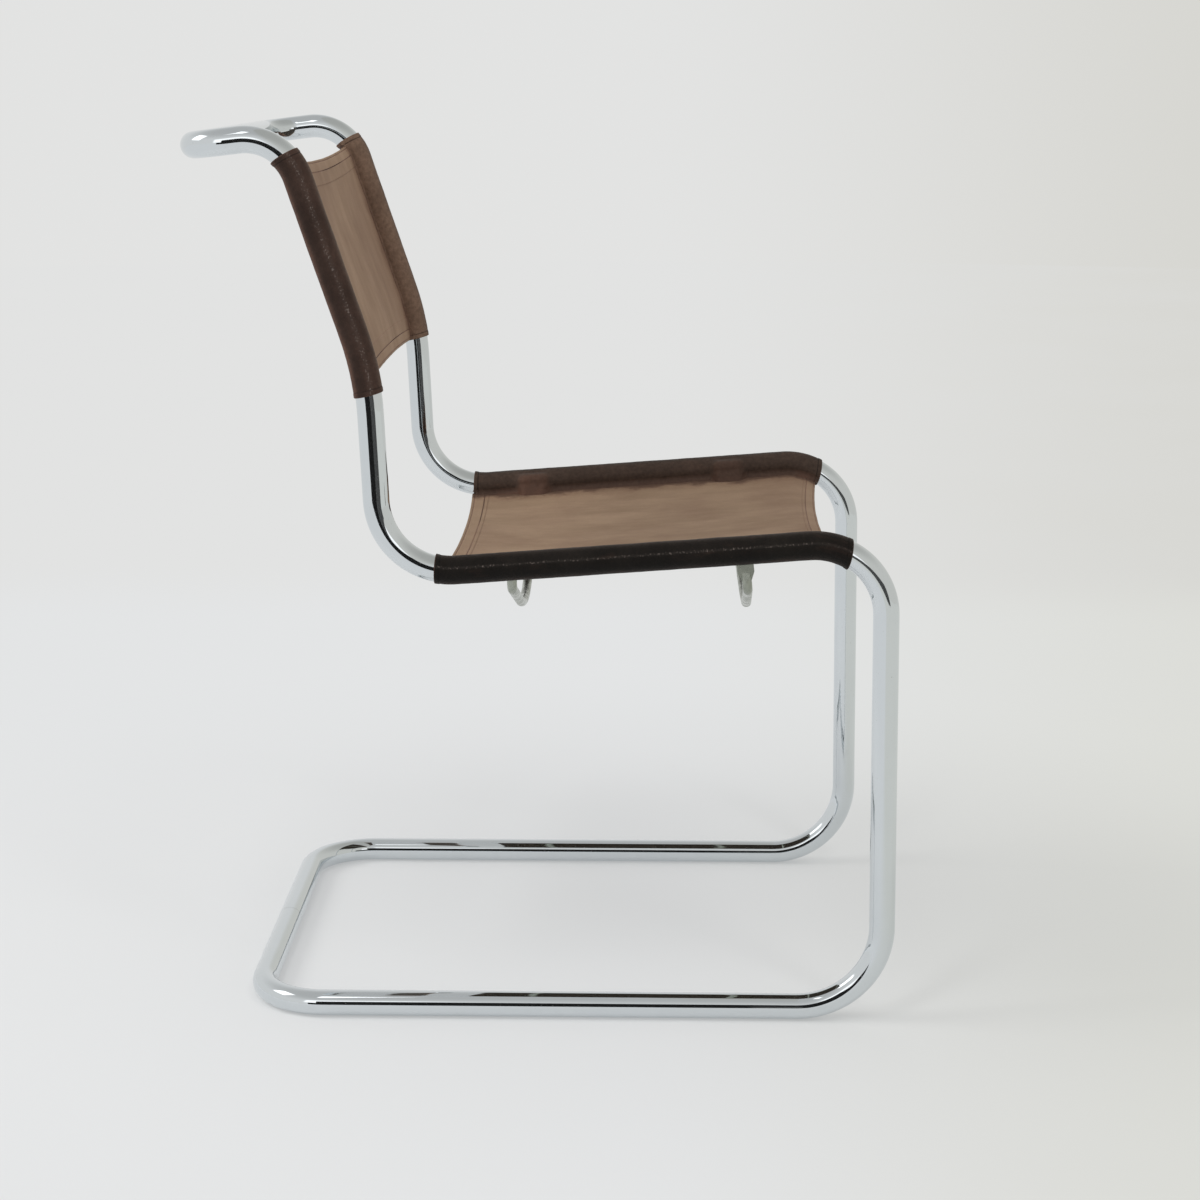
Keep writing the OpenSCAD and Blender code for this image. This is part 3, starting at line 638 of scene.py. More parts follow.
def sleeve_piece(name, sling, hand, pockets=None, around=72, tongue=9):
    """The sheet round one rail, with the flap that carries the panel; hand is 1 for the sitter's left."""
    sizes, rail, radius = sling.sizes, sling.rail, sling.sleeve_radius
    start = -sizes.first_wrap * abs(rail.before) - hand * sizes.skew
    end = rail.length + sizes.last_wrap * abs(rail.after) - hand * sizes.skew
    s = sleeve_rows(start, end, tab_places(sling, pockets))[:, None]
    d = np.minimum(s - start, end - s)
    # the wall runs from the flap's lower face at a0 round to its upper face at a1
    under = sling.face - sizes.panel - FLAP_GAP
    upper, lower = flap_root(sling, under), flap_root(sling, under - sizes.sleeve)
    a0, a1 = math.atan2(lower[1], lower[0]), math.atan2(upper[1], upper[0]) + 2 * math.pi

    # the wall's outline: round the tube, then the lip on the panel, then down beside the panel's edge
    lip = lip_outline(sling)
    meet = math.pi + math.asin(-sling.face / radius)
    turned = np.concatenate([np.linspace(a0, LIP_START, around),
                             np.linspace(LIP_START, meet, len(lip) + 1)[1:], [a1]])
    circle = radius * np.stack([np.cos(turned), np.sin(turned)])
    shaped = np.concatenate([circle[:, :around], lip.T, circle[:, -1:]], axis=1)
    corner = hand * sling.corner
    on_panel = (ease((s - sling.edge_at(corner, False) - LIP_INSET) / LIP_RUN)
                * ease((sling.edge_at(corner, True) - LIP_INSET - s) / LIP_RUN))
    line = np.stack([s, 0 * s, 0 * s], axis=-1)
    spread = on_panel * (1 + ripple(line, height=0.22, size=0.012, seed=21 + hand)
                         + ripple(line, height=0.12, size=0.004, seed=24 + hand))
    p = circle[0] + spread * (shaped[0] - circle[0])
    n = circle[1] + on_panel * (shaped[1] - circle[1])
    angles = np.arctan2(n, p) + 0 * s
    angles = np.where(angles < a0, angles + 2 * math.pi, angles)
    r = np.hypot(n, p) + 0 * s

    # outside of the wall: a folded rim at both ends, with its seam, and slow unevenness
    free = ease((FREE_END - turned) / FREE_RUN)
    spots = np.stack([circle[0] + 0 * s, circle[1] + 0 * s, s + 0 * turned], axis=-1)
    r = r + free * (RIM_HEIGHT * (1 - ease((d - RIM) / RIM_RUN))
                    - RIM_SEAM_DEPTH * bell(d - RIM_SEAM, RIM_SEAM_WIDTH))
    r = r + free * ripple(spots, height=0.00024, size=0.016, seed=5 + hand, stretch=(1, 1, 0.6))
    r = r + free * ripple(spots, height=0.00013, size=0.005, seed=8 + hand)
    rests = (turned > math.pi) & (turned < meet + 1e-6)
    r, rub = over_tabs(sling, pockets, s, r, angles, rests)
    bore = sling.tube_radius + BORE_GAP
    r = bore + (r - bore) * (0.35 + 0.65 * rounding(d, 0.6 * sizes.sleeve))
    wall_p, wall_n = r * np.cos(angles), r * np.sin(angles)
    # what bulges or lies inwards rests on the panel
    floor = sling.hang(sling.side + wall_p, sling.face + LIP_GAP)
    wall_n = np.where(rests & (spread > 0.5), np.maximum(wall_n, floor), wall_n)
    outer = sling.sleeve_point(sling.side + wall_p, s, wall_n, lean=circle[1])

    out = np.concatenate([np.linspace(0.06, 1, tongue), np.linspace(1, 0.06, tongue)])
    outside = np.concatenate([outer, flap_points(sling, hand, s, out, upper, lower, under)], axis=1)

    # the inside follows the tube, point for point
    inner_angles = np.concatenate([turned, np.linspace(a1, a0 + 2 * math.pi, 2 * tongue + 2)[1:-1]])
    inside = sling.sleeve_point(sling.side + bore * np.cos(inner_angles), s, bore * np.sin(inner_angles))
    verts = np.concatenate([outside.reshape(-1, 3), inside.reshape(-1, 3)])
    verts[:, 0] *= hand
    shape = outside.shape[:2]

    def twice(values, count=1):
        """The same values for the outside and the inside."""
        return np.concatenate([values.reshape(-1, count)] * 2)

    def with_flap(values, on_flap=0.0):
        return np.append(values, np.full(2 * tongue, on_flap))

    girth = np.concatenate([turned * radius, (a1 + 0.1 * out) * radius])
    uv = np.stack([np.broadcast_to(girth, shape), np.broadcast_to(s, shape)], axis=-1)
    lipped = np.zeros(shape[1])
    lipped[around:around + len(lip)] = np.linspace(0.3, 1, len(lip))
    marks = {
        "edge": d,
        "rub": np.concatenate([rub, np.zeros((len(s), 2 * tongue))], axis=1),
        "lip": on_panel * lipped,
        "inner": with_flap(ease(0.5 - 0.7 * np.cos(turned)), 1.0),
        # the next two marks place a painted highlight line and a painted dark reflection band round the outside
        "ridge": with_flap(bell((turned - GLINT_AT) * radius, sizes.glint)),
        "core": with_flap(bell(turned - DARK_REFLECTION_AT, DARK_REFLECTION_WIDTH)),
        "behind": with_flap(ease((BEHIND_AT - turned) / BEHIND_WIDTH)),
    }
    marks = {key: twice(np.broadcast_to(values, shape)) for key, values in marks.items()}
    obj = new_mesh(name, verts, shell_faces(shape), twice(uv, 2), marks, crease=50)
    return obj, (a1 - a0) * radius + 2 * sizes.flap, end - start


# Geometry Nodes: the bent tube and the rows of stitches


def node(tree, kind, inputs=None, **settings):
    """Adds a node, sets its options, and gives its inputs values or links."""
    made = tree.nodes.new(kind)
    for key, value in settings.items():
        setattr(made, key, value)
    for key, value in (inputs or {}).items():
        socket = made.inputs[key]
        if isinstance(value, bpy.types.NodeSocket):
            tree.links.new(value, socket)
        else:
            socket.default_value = value
    return made


def out(tree, kind, inputs=None, **settings):
    """Adds a node and gives its first output."""
    return node(tree, kind, inputs, **settings).outputs[0]


def geometry_tree(name, inputs):
    """An empty tree that takes and gives geometry, with more inputs as name, kind and default."""
    tree = bpy.data.node_groups.new(name, "GeometryNodeTree")
    for label, kind, default in (("Geometry", "Geometry", None), *inputs, ("Material", "Material", None)):
        socket = tree.interface.new_socket(label, in_out="INPUT", socket_type="NodeSocket" + kind)
        if default is not None:
            socket.default_value = default
    tree.interface.new_socket("Geometry", in_out="OUTPUT", socket_type="NodeSocketGeometry")
    return tree, node(tree, "NodeGroupInput").outputs


def close_tree(tree, given, geometry):
    """Ends a tree: makes its instances real and gives them the material."""
    real = out(tree, "GeometryNodeRealizeInstances", {"Geometry": geometry})
    dressed = out(tree, "GeometryNodeSetMaterial", {"Geometry": real, "Material": given["Material"]})
    node(tree, "NodeGroupOutput", {"Geometry": dressed})
    return tree


def guide_lines(name, verts, edges, tree, values):
    """An object of bare lines with a tree on it; values go to the tree's inputs by their names."""
    mesh = bpy.data.meshes.new(name)
    mesh.from_pydata(verts, edges, [])
    guide = linked(name + "_guide", mesh)
    modifier = guide.modifiers.new(tree.name, "NODES")
    modifier.node_group = tree
    for item in tree.interface.items_tree:
        if item.in_out == "INPUT" and item.name in values:
            modifier[item.identifier] = values[item.name]
    return guide


def plain_piece(name, guide):
    """Makes what a guide's modifiers build into an object with a plain mesh."""
    evaluated = guide.evaluated_get(bpy.context.evaluated_depsgraph_get())
    plain = bpy.data.meshes.new_from_object(evaluated)
    plain.name = name
    obj = linked(name, plain)
    bpy.data.objects.remove(guide)
    return obj


def tube_tree():
    """A round tube skin along each line of the mesh."""
    tree, given = geometry_tree("Bent tube", (("Radius", "Float", 0.0125), ("Around", "Int", 72)))
    line = out(tree, "GeometryNodeMeshToCurve", {"Mesh": given["Geometry"]})
    outline = out(tree, "GeometryNodeCurvePrimitiveCircle",
                  {"Radius": given["Radius"], "Resolution": given["Around"]})
    skin = out(tree, "GeometryNodeCurveToMesh", {"Curve": line, "Profile Curve": outline})
    return close_tree(tree, given, out(tree, "GeometryNodeSetShadeSmooth", {"Geometry": skin}))


def screw_holes(tube, pockets, sides=32, floor_depth=0.005, seat_depth=0.004):
    """One cutter for all screw holes in the frame tube: two under the floor rail, four in the seat rails."""
    corners = side_corners(tube)
    rear, hip = corners[0], corners[3]
    forward = unit(corners[2] - hip)
    inner_wall = tube.spacing / 2 - tube.diameter / 2 + tube.wall / 2
    sideways = Matrix.Rotation(math.pi / 2, 4, "Y")
    places = [(Matrix.Translation((hand * tube.set_screw, rear[0], 0)), floor_depth) for hand in (-1, 1)]
    for hand in (-1, 1):
        for place in (pockets.front_place, pockets.rear_place):
            y, z = hip + forward * place
            places.append((Matrix.Translation((hand * inner_wall, y, z)) @ sideways, seat_depth))
    bm = bmesh.new()
    for matrix, depth in places:
        bmesh.ops.create_cone(bm, cap_ends=True, segments=sides, radius1=tube.hole / 2, radius2=tube.hole / 2,
                              depth=depth, matrix=matrix)
    mesh = bpy.data.meshes.new("screw_holes")
    bm.to_mesh(mesh)
    bm.free()
    return linked("screw_holes", mesh)


def tube_piece(name, tube, pockets, material):
    """The frame tube, smooth round its bends, hollow, open at its joint and drilled for its screws."""
    path = loop_path(tube)
    edges = [(i, i + 1) for i in range(len(path) - 1)]
    guide = guide_lines(name, path.tolist(), edges, tube_tree(), {"Radius": tube.diameter / 2, "Material": material})
    wall = guide.modifiers.new("Wall", "SOLIDIFY")
    wall.thickness, wall.offset = tube.wall, -1
    cutter = screw_holes(tube, pockets)
    holes = guide.modifiers.new("Holes", "BOOLEAN")
    holes.operation, holes.solver, holes.object = "DIFFERENCE", "EXACT", cutter
    obj = plain_piece(name, guide)
    bpy.data.objects.remove(cutter)
    obj.data.set_sharp_from_angle(angle=math.radians(40))
    recalculate(obj)
    return obj


def stitch_tree():
    """A row of stitches along each line of the mesh, flat on the surface whose normal is the mark up."""
    tree, given = geometry_tree("Stitch row", (("Pitch", "Float", 0.0034), ("Length", "Float", 0.0026),
                                               ("Thread", "Float", 0.0007), ("Seed", "Int", 3)))
    line = out(tree, "GeometryNodeMeshToCurve", {"Mesh": given["Geometry"]})
    spaced = out(tree, "GeometryNodeResampleCurve", {"Curve": line, "Length": given["Pitch"]}, mode="LENGTH")
    up = out(tree, "GeometryNodeInputNamedAttribute", {"Name": "up"}, data_type="FLOAT_VECTOR")
    tangent = out(tree, "GeometryNodeInputTangent")
    ahead = out(tree, "FunctionNodeAlignRotationToVector", {"Vector": tangent}, axis="X")
    flat = out(tree, "FunctionNodeAlignRotationToVector", {"Rotation": ahead, "Vector": up},
               axis="Z", pivot_axis="X")
    size = out(tree, "ShaderNodeCombineXYZ", {"X": given["Length"], "Y": given["Thread"], "Z": given["Thread"]})
    uneven = out(tree, "FunctionNodeRandomValue", {"Min": (0.86, 0.9, 0.9), "Max": (1.06, 1.15, 1.1),
                                                   "Seed": given["Seed"]}, data_type="FLOAT_VECTOR")
    bead = out(tree, "GeometryNodeMeshIcoSphere", {"Radius": 0.5, "Subdivisions": 1})
    placed = out(tree, "GeometryNodeInstanceOnPoints", {
        "Points": spaced, "Instance": out(tree, "GeometryNodeSetShadeSmooth", {"Geometry": bead}),
        "Rotation": flat, "Scale": vector_maths(tree, "MULTIPLY", size, uneven)})
    return close_tree(tree, given, placed)


def stitch_piece(name, rows, sizes, material):
    """Stitches along rows, each an array of points and of normals, as one plain mesh."""
    verts, ups, edges = [], [], []
    for points, normals in rows:
        base = len(verts)
        verts += points.tolist()
        ups += normals.tolist()
        edges += [(base + i, base + i + 1) for i in range(len(points) - 1)]
    tree = bpy.data.node_groups.get("Stitch row") or stitch_tree()
    guide = guide_lines(name, verts, edges, tree, {"Pitch": sizes.stitch, "Length": sizes.stitch * 0.8,
                                                   "Thread": sizes.thread, "Material": material})
    up = guide.data.attributes.new("up", "FLOAT_VECTOR", "POINT")
    up.data.foreach_set("vector", np.array(ups, np.float32).ravel())
    return plain_piece(name, guide)


def hem_rows(sling, inset=0.003, count=160):
    """The seams of both hems, on both faces of the panel."""
    sizes, rows = sling.sizes, []
    x = np.linspace(-sling.edge + inset, sling.edge - inset, count)
    for last in (False, True):
        s = sling.edge_at(x, last) + (-1 if last else 1) * sizes.hem_stitch
        for way in (1, -1):
            n = sling.face - sizes.panel / 2 + way * (sizes.panel / 2 + sizes.hem_swell - THREAD_SINK)
            points, above = sling.point(x, s, n), sling.point(x, s, n + way * NORMAL_STEP)
            rows.append((points, (above - points) / NORMAL_STEP))
    return rows


def flap_rows(sling, inset=0.006, count=150, outer=0.004, inner=0.0025):
    """Two seams along each flap, seen from below."""
    sizes, rail, rows = sling.sizes, sling.rail, []
    s = np.linspace(sizes.flap_inset + inset, rail.length - sizes.flap_inset - inset, count)
    level = sling.face - sizes.panel - sizes.sleeve - FLAP_GAP
    for hand in (1, -1):
        for inward in (outer, sizes.flap - inner):
            x = np.full_like(s, sling.edge - inward)
            points = sling.point(x, s, level - THREAD_OFF) * (hand, 1, 1)
            below = sling.point(x, s, level - THREAD_OFF - NORMAL_STEP) * (hand, 1, 1)
            rows.append((points, (below - points) / NORMAL_STEP))
    return rows


# Parts of materials


def emptied(owner):
    """The node tree of a new material or world, with nothing in it."""
    owner.use_nodes = True
    owner.node_tree.nodes.clear()
    return owner.node_tree


def new_material(name):
    material = bpy.data.materials.new(name)
    return material, emptied(material)


def principled(tree, inputs):
    """Ends a material's tree in its shader, with links or plain values on the shader's own sockets."""
    node(tree, "ShaderNodeOutputMaterial", {"Surface": out(tree, "ShaderNodeBsdfPrincipled", inputs)})


def two_shaders(tree, share, first, second, end="ShaderNodeOutputMaterial"):
    """Ends a tree in the second shader by its share, and the first for the rest."""
    node(tree, end, {"Surface": out(tree, "ShaderNodeMixShader", {0: share, 1: first, 2: second})})


def group(name, inputs, outputs):
    """An empty shader group with named inputs and outputs."""
    tree = bpy.data.node_groups.new(name, "ShaderNodeTree")
    kinds = {float: "NodeSocketFloat", tuple: "NodeSocketVector"}
    for label, default in inputs.items():
        tree.interface.new_socket(label, in_out="INPUT", socket_type=kinds[type(default)]).default_value = default
    for label in outputs:
        tree.interface.new_socket(label, in_out="OUTPUT", socket_type="NodeSocketFloat")
    return tree, node(tree, "NodeGroupInput").outputs


def use(tree, maker, inputs):
    """Places a shared group in a material, making it the first time."""
    shared = bpy.data.node_groups.get(maker.__name__) or maker()
    return node(tree, "ShaderNodeGroup", inputs, node_tree=shared).outputs


def mix(tree, factor, a, b):
    a, b = (value if isinstance(value, bpy.types.NodeSocket) else (*value, 1) for value in (a, b))
    return node(tree, "ShaderNodeMix", {0: factor, 6: a, 7: b}, data_type="RGBA").outputs[2]


def scaled(tree, value, low, high, start=0.0, end=1.0, smooth=False):
    """Maps value from start..end to low..high."""
    return out(tree, "ShaderNodeMapRange", {"Value": value, "From Min": start, "From Max": end, "To Min": low,
                                            "To Max": high},
               interpolation_type="SMOOTHSTEP" if smooth else "LINEAR")


def layers(tree, base, *masks):
    """Lays colours over base, each given as its mask, the most that it covers, and the colour."""
    for mask, most, over in masks:
        base = mix(tree, scaled(tree, mask, 0, most), base, over)
    return base


def maths(tree, operation, *values):
    return out(tree, "ShaderNodeMath", dict(enumerate(values)), operation=operation)


def vector_maths(tree, operation, *values):
    return out(tree, "ShaderNodeVectorMath", dict(enumerate(values)), operation=operation)


def parts_of(tree, vector):
    return node(tree, "ShaderNodeSeparateXYZ", {0: vector}).outputs


def bump(tree, height, distance, strength, normal=None):
    inputs = {"Height": height, "Distance": distance, "Strength": strength}
    return out(tree, "ShaderNodeBump", inputs if normal is None else {**inputs, "Normal": normal})


def place_of(tree):
    return node(tree, "ShaderNodeTexCoord").outputs["Object"]


def flat_map(tree):
    return out(tree, "ShaderNodeUVMap", uv_map="flat")


def mark(tree, name):
    return node(tree, "ShaderNodeAttribute", attribute_name=name).outputs["Fac"]


def tint(tone, share):
    return tuple(c * share for c in tone)


def clouds(tree, at, scale, detail, roughness=0.5):
    return out(tree, "ShaderNodeTexNoise", {"Vector": at, "Scale": scale, "Detail": detail, "Roughness": roughness})


def patches(tree, at, scale, cover, softness, detail=4.0, stretch=(1.0, 1.0, 1.0)):
    """Soft, irregular patches as a mask."""
    return use(tree, patches_group, {"Vector": at, "Scale": scale, "Cover": cover, "Softness": softness,
                                     "Detail": detail, "Stretch": stretch})["Mask"]


def line_at(tree, edge, place, width, amount):
    """A thin line at a distance from the edge, as a mask up to amount."""
    gap = maths(tree, "ABSOLUTE", maths(tree, "SUBTRACT", edge, place))
    return scaled(tree, gap, amount, 0, 0.0, width, True)


def patches_group():
    """Soft, irregular patches: 0 outside, 1 inside, covering about the share Cover."""
    tree, given = group("patches_group", {"Vector": (0.0, 0.0, 0.0), "Scale": 10.0, "Cover": 0.5, "Softness": 0.1,
                                          "Detail": 4.0, "Stretch": (1.0, 1.0, 1.0)}, ["Mask"])
    cloud = clouds(tree, vector_maths(tree, "MULTIPLY", given["Vector"], given["Stretch"]), given["Scale"],
                   given["Detail"], 0.6)
    # noise lies mostly between 0.3 and 0.7
    level = scaled(tree, given["Cover"], 0.72, 0.28)
    low, high = (maths(tree, operation, level, given["Softness"]) for operation in ("SUBTRACT", "ADD"))
    node(tree, "NodeGroupOutput", {"Mask": scaled(tree, cloud, 0, 1, low, high, True)})
    return tree


def weave_group():
    """Plain weave on a flat map in metres: the height of the threads, and how light each thread is."""
    tree, given = group("weave_group", {"Vector": (0.0, 0.0, 0.0), "Threads": 1100.0}, ["Height", "Light"])
    wobble = node(tree, "ShaderNodeTexNoise", {"Vector": given["Vector"], "Scale": 90.0, "Detail": 2.0}).outputs[1]
    shift = vector_maths(tree, "MULTIPLY", wobble, (0.0009, 0.0009, 0.0))
    moved = vector_maths(tree, "ADD", given["Vector"], shift)
    grid = out(tree, "ShaderNodeVectorMath", {0: moved, "Scale": given["Threads"]}, operation="SCALE")
    across, along = (maths(tree, "SINE", maths(tree, "MULTIPLY", parts_of(tree, grid)[axis], math.pi))
                     for axis in (0, 1))
    height = scaled(tree, maths(tree, "MULTIPLY", across, along), 0, 1, -1.0)
    cells = out(tree, "ShaderNodeTexWhiteNoise", {"Vector": vector_maths(tree, "FLOOR", grid)},
                noise_dimensions="3D")
    node(tree, "NodeGroupOutput", {"Height": height, "Light": cells})
    return tree


def grain_group():
    """Fine pebbled grain of waxed leather."""
    tree, given = group("grain_group", {"Vector": (0.0, 0.0, 0.0), "Scale": 900.0}, ["Height", "Light"])
    cells = out(tree, "ShaderNodeTexVoronoi", {"Vector": given["Vector"], "Scale": given["Scale"]}, feature="F1")
    broad = clouds(tree, given["Vector"], 260.0, 5.0, 0.65)
    node(tree, "NodeGroupOutput", {"Height": maths(tree, "SUBTRACT", cells, broad), "Light": broad})
    return tree


def sideways_group():
    """How far to the picture's left a direction from the camera points: 0 at the right, 1 from the middle on."""
    tree, given = group("sideways_group", {"Vector": (0.0, 0.0, 0.0)}, ["Mask"])
    parts = parts_of(tree, given["Vector"])
    depth = maths(tree, "ADD", maths(tree, "ABSOLUTE", parts[0]), 0.05)
    ratio = maths(tree, "DIVIDE", parts[1], depth)
    node(tree, "NodeGroupOutput", {"Mask": scaled(tree, ratio, 0, 1, -0.27, 0.02, True)})
    return tree


# Materials of the chair


def wear(obj, material):
    """Gives a piece its one material."""
    obj.data.materials.clear()
    obj.data.materials.append(material)


def chrome_material(colours):
    material, tree = new_material("polished_chrome")
    at = place_of(tree)
    film = patches(tree, at, scale=22.0, cover=0.42, softness=0.12)
    specks = patches(tree, at, scale=620.0, cover=0.05, softness=0.02)
    principled(tree, {
        "Metallic": 1,
        "Base Color": layers(tree, colours.chrome, (film, 0.12, colours.haze), (specks, 0.5, colours.pits)),
        "Roughness": maths(tree, "ADD", scaled(tree, film, 0.035, 0.075), scaled(tree, specks, 0, 0.3)),
        "Normal": bump(tree, clouds(tree, at, 24.0, 1.0), 0.0006, 0.12)})
    return material


def plated_material(name, tone, rough, spots):
    """Dull plating with greyer and yellower patches."""
    material, tree = new_material(name)
    at = place_of(tree)
    cloud = patches(tree, at, scale=60.0, cover=0.5, softness=0.2)
    dots = patches(tree, at, scale=330.0, cover=0.22, softness=0.06)
    principled(tree, {
        "Metallic": 1,
        "Base Color": layers(tree, tone, (cloud, 0.4, spots), (dots, 0.16, tint(spots, 0.4))),
        "Roughness": maths(tree, "ADD", scaled(tree, cloud, rough, rough + 0.16), scaled(tree, dots, 0, 0.08)),
        "Normal": bump(tree, clouds(tree, at, 900.0, 3.0), 0.0001, 0.12)})
    return material


def panel_material(name, tone, inner, sizes, colours, dye):
    """Worn, finely ribbed face: stains, rubbed streaks, darker hems, and the sleeves' dye along the sides, with
    painted shade in the hems' grooves and on the underside.
    """
    material, tree = new_material(name)
    flat, at = flat_map(tree), place_of(tree)
    weave = use(tree, weave_group, {"Vector": flat, "Threads": 1150.0})
    streaks = patches(tree, flat, scale=13.0, cover=0.5, softness=0.24, detail=7.0, stretch=(1.7, 0.6, 1.0))
    blots = patches(tree, at, scale=9.0, cover=0.44, softness=0.13, detail=6.0)
    fine = patches(tree, at, scale=150.0, cover=0.5, softness=0.25, detail=6.0)
    slubs = patches(tree, flat, scale=240.0, cover=0.42, softness=0.2, stretch=(1.0, 0.12, 1.0))
    pale, dark = tuple(min(1, c * 1.12 + 0.006) for c in tone), tint(tone, 0.84)
    base = layers(tree, mix(tree, streaks, dark, pale), (blots, 0.32, colours.stain_and_shade), (fine, 0.20, dark),
                  (slubs, 0.22, dark), (weave["Light"], 0.14, tint(tone, 0.55)))

    # hems: a darker rolled edge, then a paler band, with painted shade as dark lines in the grooves at the roll and
    # the seam and along the inner fold
    edge = mark(tree, "edge")
    roll = scaled(tree, edge, 0.5, 0, sizes.hem_roll - 0.0008, sizes.hem_roll, True)
    base = mix(tree, roll, base, tint(tone, 0.62))
    band = scaled(tree, edge, 0.28, 0, sizes.hem_stitch - 0.001, sizes.hem_stitch, True)
    base = mix(tree, band, base, pale)
    for place, width, amount in ((sizes.hem_roll, 0.0008, 0.75), (sizes.hem_stitch, 0.0010, 0.8),
                                 (sizes.hem, 0.0011, 0.25)):
        base = mix(tree, line_at(tree, edge, place, width, amount), base, colours.stain_and_shade)

    # a reddish stain spreads from both sides, and the sleeves' dye ends in a worn, irregular line
    side, ragged = mark(tree, "to_side"), clouds(tree, flat, 34.0, 6.0, 0.65)
    spread, moved = (maths(tree, "ADD", side, scaled(tree, ragged, -width, width, 0.25, 0.75))
                     for width in (0.02, dye[0]))
    base = mix(tree, scaled(tree, spread, 0.42, 0, 0.004, 0.036, True), base, colours.stain_and_shade)
    near = scaled(tree, moved, 1, 0, dye[0] - dye[1], dye[0] + dye[1], True)
    base = layers(tree, base, (near, 0.75, mix(tree, 0.3, inner, colours.worn)))
    # painted shade: the panels' undersides are painted near black
    base = mix(tree, scaled(tree, mark(tree, "under"), 0, 0.9, 0.2, 0.8), base, colours.painted_shade_underside)
    threads = bump(tree, slubs, 0.00012, 0.4, bump(tree, weave["Height"], 0.00025, 0.5))
    principled(tree, {"Base Color": base, "Roughness": scaled(tree, streaks, 0.85, 0.7),
                      "Specular IOR Level": 0.22, "Normal": bump(tree, fine, 0.0002, 0.35, threads)})
    return material


def sleeve_material(name, outer, inner, colours, worn, rear):
    """Dark leather with a fine grain, paler and redder on its inner side, rubbed at edges and over the tabs, with a
    painted highlight line and a painted dark reflection band round the outside.
    """
    material, tree = new_material(name)
    at, flat = place_of(tree), flat_map(tree)
    grain = use(tree, grain_group, {"Vector": at, "Scale": 620.0})
    patch = patches(tree, at, scale=24.0, cover=worn, softness=0.18, detail=6.0)
    scuffs = patches(tree, flat, scale=60.0, cover=0.28, softness=0.08, detail=6.0, stretch=(1.0, 0.25, 1.0))
    specks = patches(tree, at, scale=520.0, cover=0.24, softness=0.07, detail=3.0)
    inside, edge = mark(tree, "inner"), mark(tree, "edge")

    def marked(key, mask, low, high):
        """A mask within a mark."""
        return maths(tree, "MULTIPLY", mark(tree, key), scaled(tree, mask, low, high))

    lighter = mix(tree, inside, tint(outer, 2.2), tint(inner, 1.4))
    # of these, the paler specks are painted glints of the grain, in the worn leather's colour; the patches and scuffs
    # are wear
    base = layers(tree, mix(tree, inside, outer, inner), (patch, 0.55, lighter), (scuffs, 0.12, colours.worn),
                  (specks, 0.06, colours.worn))
    # the paler band on the rear side of a sleeve: worn leather, and partly a painted sheen along the edge that turns
    # away
    base = mix(tree, marked("behind", patch, 0.5 * rear, rear), base, colours.worn)
    # painted dark reflection: a darker band round the outside of each sleeve
    base = layers(tree, base, (mark(tree, "core"), 0.4, tint(outer, 0.3)))
    base = mix(tree, scaled(tree, grain["Light"], 0, 0.45, 0.35, 0.75), base, tint(outer, 0.35))
    base = mix(tree, scaled(tree, edge, 0.45, 0, 0.0, 0.0014, True), base, colours.worn)
    base = mix(tree, line_at(tree, edge, RIM_SEAM, 0.0009, 0.7), base, tint(outer, 0.4))
    base = mix(tree, marked("rub", patch, 0.2, 0.55), base, colours.worn)
    base = mix(tree, marked("lip", scuffs, 0.35, 0.8), base, colours.worn)
    # a painted highlight: the glinting line along the outside is painted paler in the glint colour, and a thin, dull
    # coat of wax adds gloss there
    ridge = marked("ridge", specks, 0.08, 1)
    principled(tree, {
        "Base Color": layers(tree, base, (ridge, 0.45, colours.glint)),
        "Roughness": scaled(tree, specks, 0.55, 0.42),
        "Specular IOR Level": 0.12,
        "Coat Weight": scaled(tree, ridge, 0, 0.8),
        "Coat Roughness": 0.4,
        "Normal": bump(tree, grain["Height"], 0.0003, 0.6)})
    return material


def thread_material(colours):
    material, tree = new_material("sewing_thread")
    twist = clouds(tree, place_of(tree), 1500.0, 2.0)
    principled(tree, {"Base Color": mix(tree, twist, colours.thread, tint(colours.thread, 0.5)),
                      "Roughness": 0.7, "Normal": bump(tree, twist, 0.0001, 0.5)})
    return material


# Operators for the chair's pieces


class CHAIR_OT_chrome_frame(bpy.types.Operator):
    """Makes the chromed frame tube"""

    bl_idname = "chair.chrome_frame"
    bl_label = "Chrome frame"

    def execute(self, context):
        scene = context.scene
        chrome = chrome_material(scene.chair_colours)
        tube = tube_piece("frame_tube_chrome", scene.chair_tube, scene.chair_pockets, chrome)
        wear(tube, chrome)
        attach(tube, BODY)
        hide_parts("frame_tube")
        return {"FINISHED"}


class CHAIR_OT_fittings(bpy.types.Operator):
    """Plates the stretchers, the screws and the spigot"""

    bl_idname = "chair.fittings"
    bl_label = "Stretchers and screws"

    def execute(self, context):
        colours = context.scene.chair_colours
        rod = plated_material("dull_plating", colours.rod, 0.2, colours.rod_spots)
        steel = plated_material("plain_steel", colours.steel, 0.3, colours.steel_spots)
        for name in ("stretcher_front", "stretcher_rear"):
            wear(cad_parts[name], rod)
        for name in ("joint_spigot", "joint_screws", "stretcher_screws"):
            wear(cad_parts[name], steel)
        return {"FINISHED"}


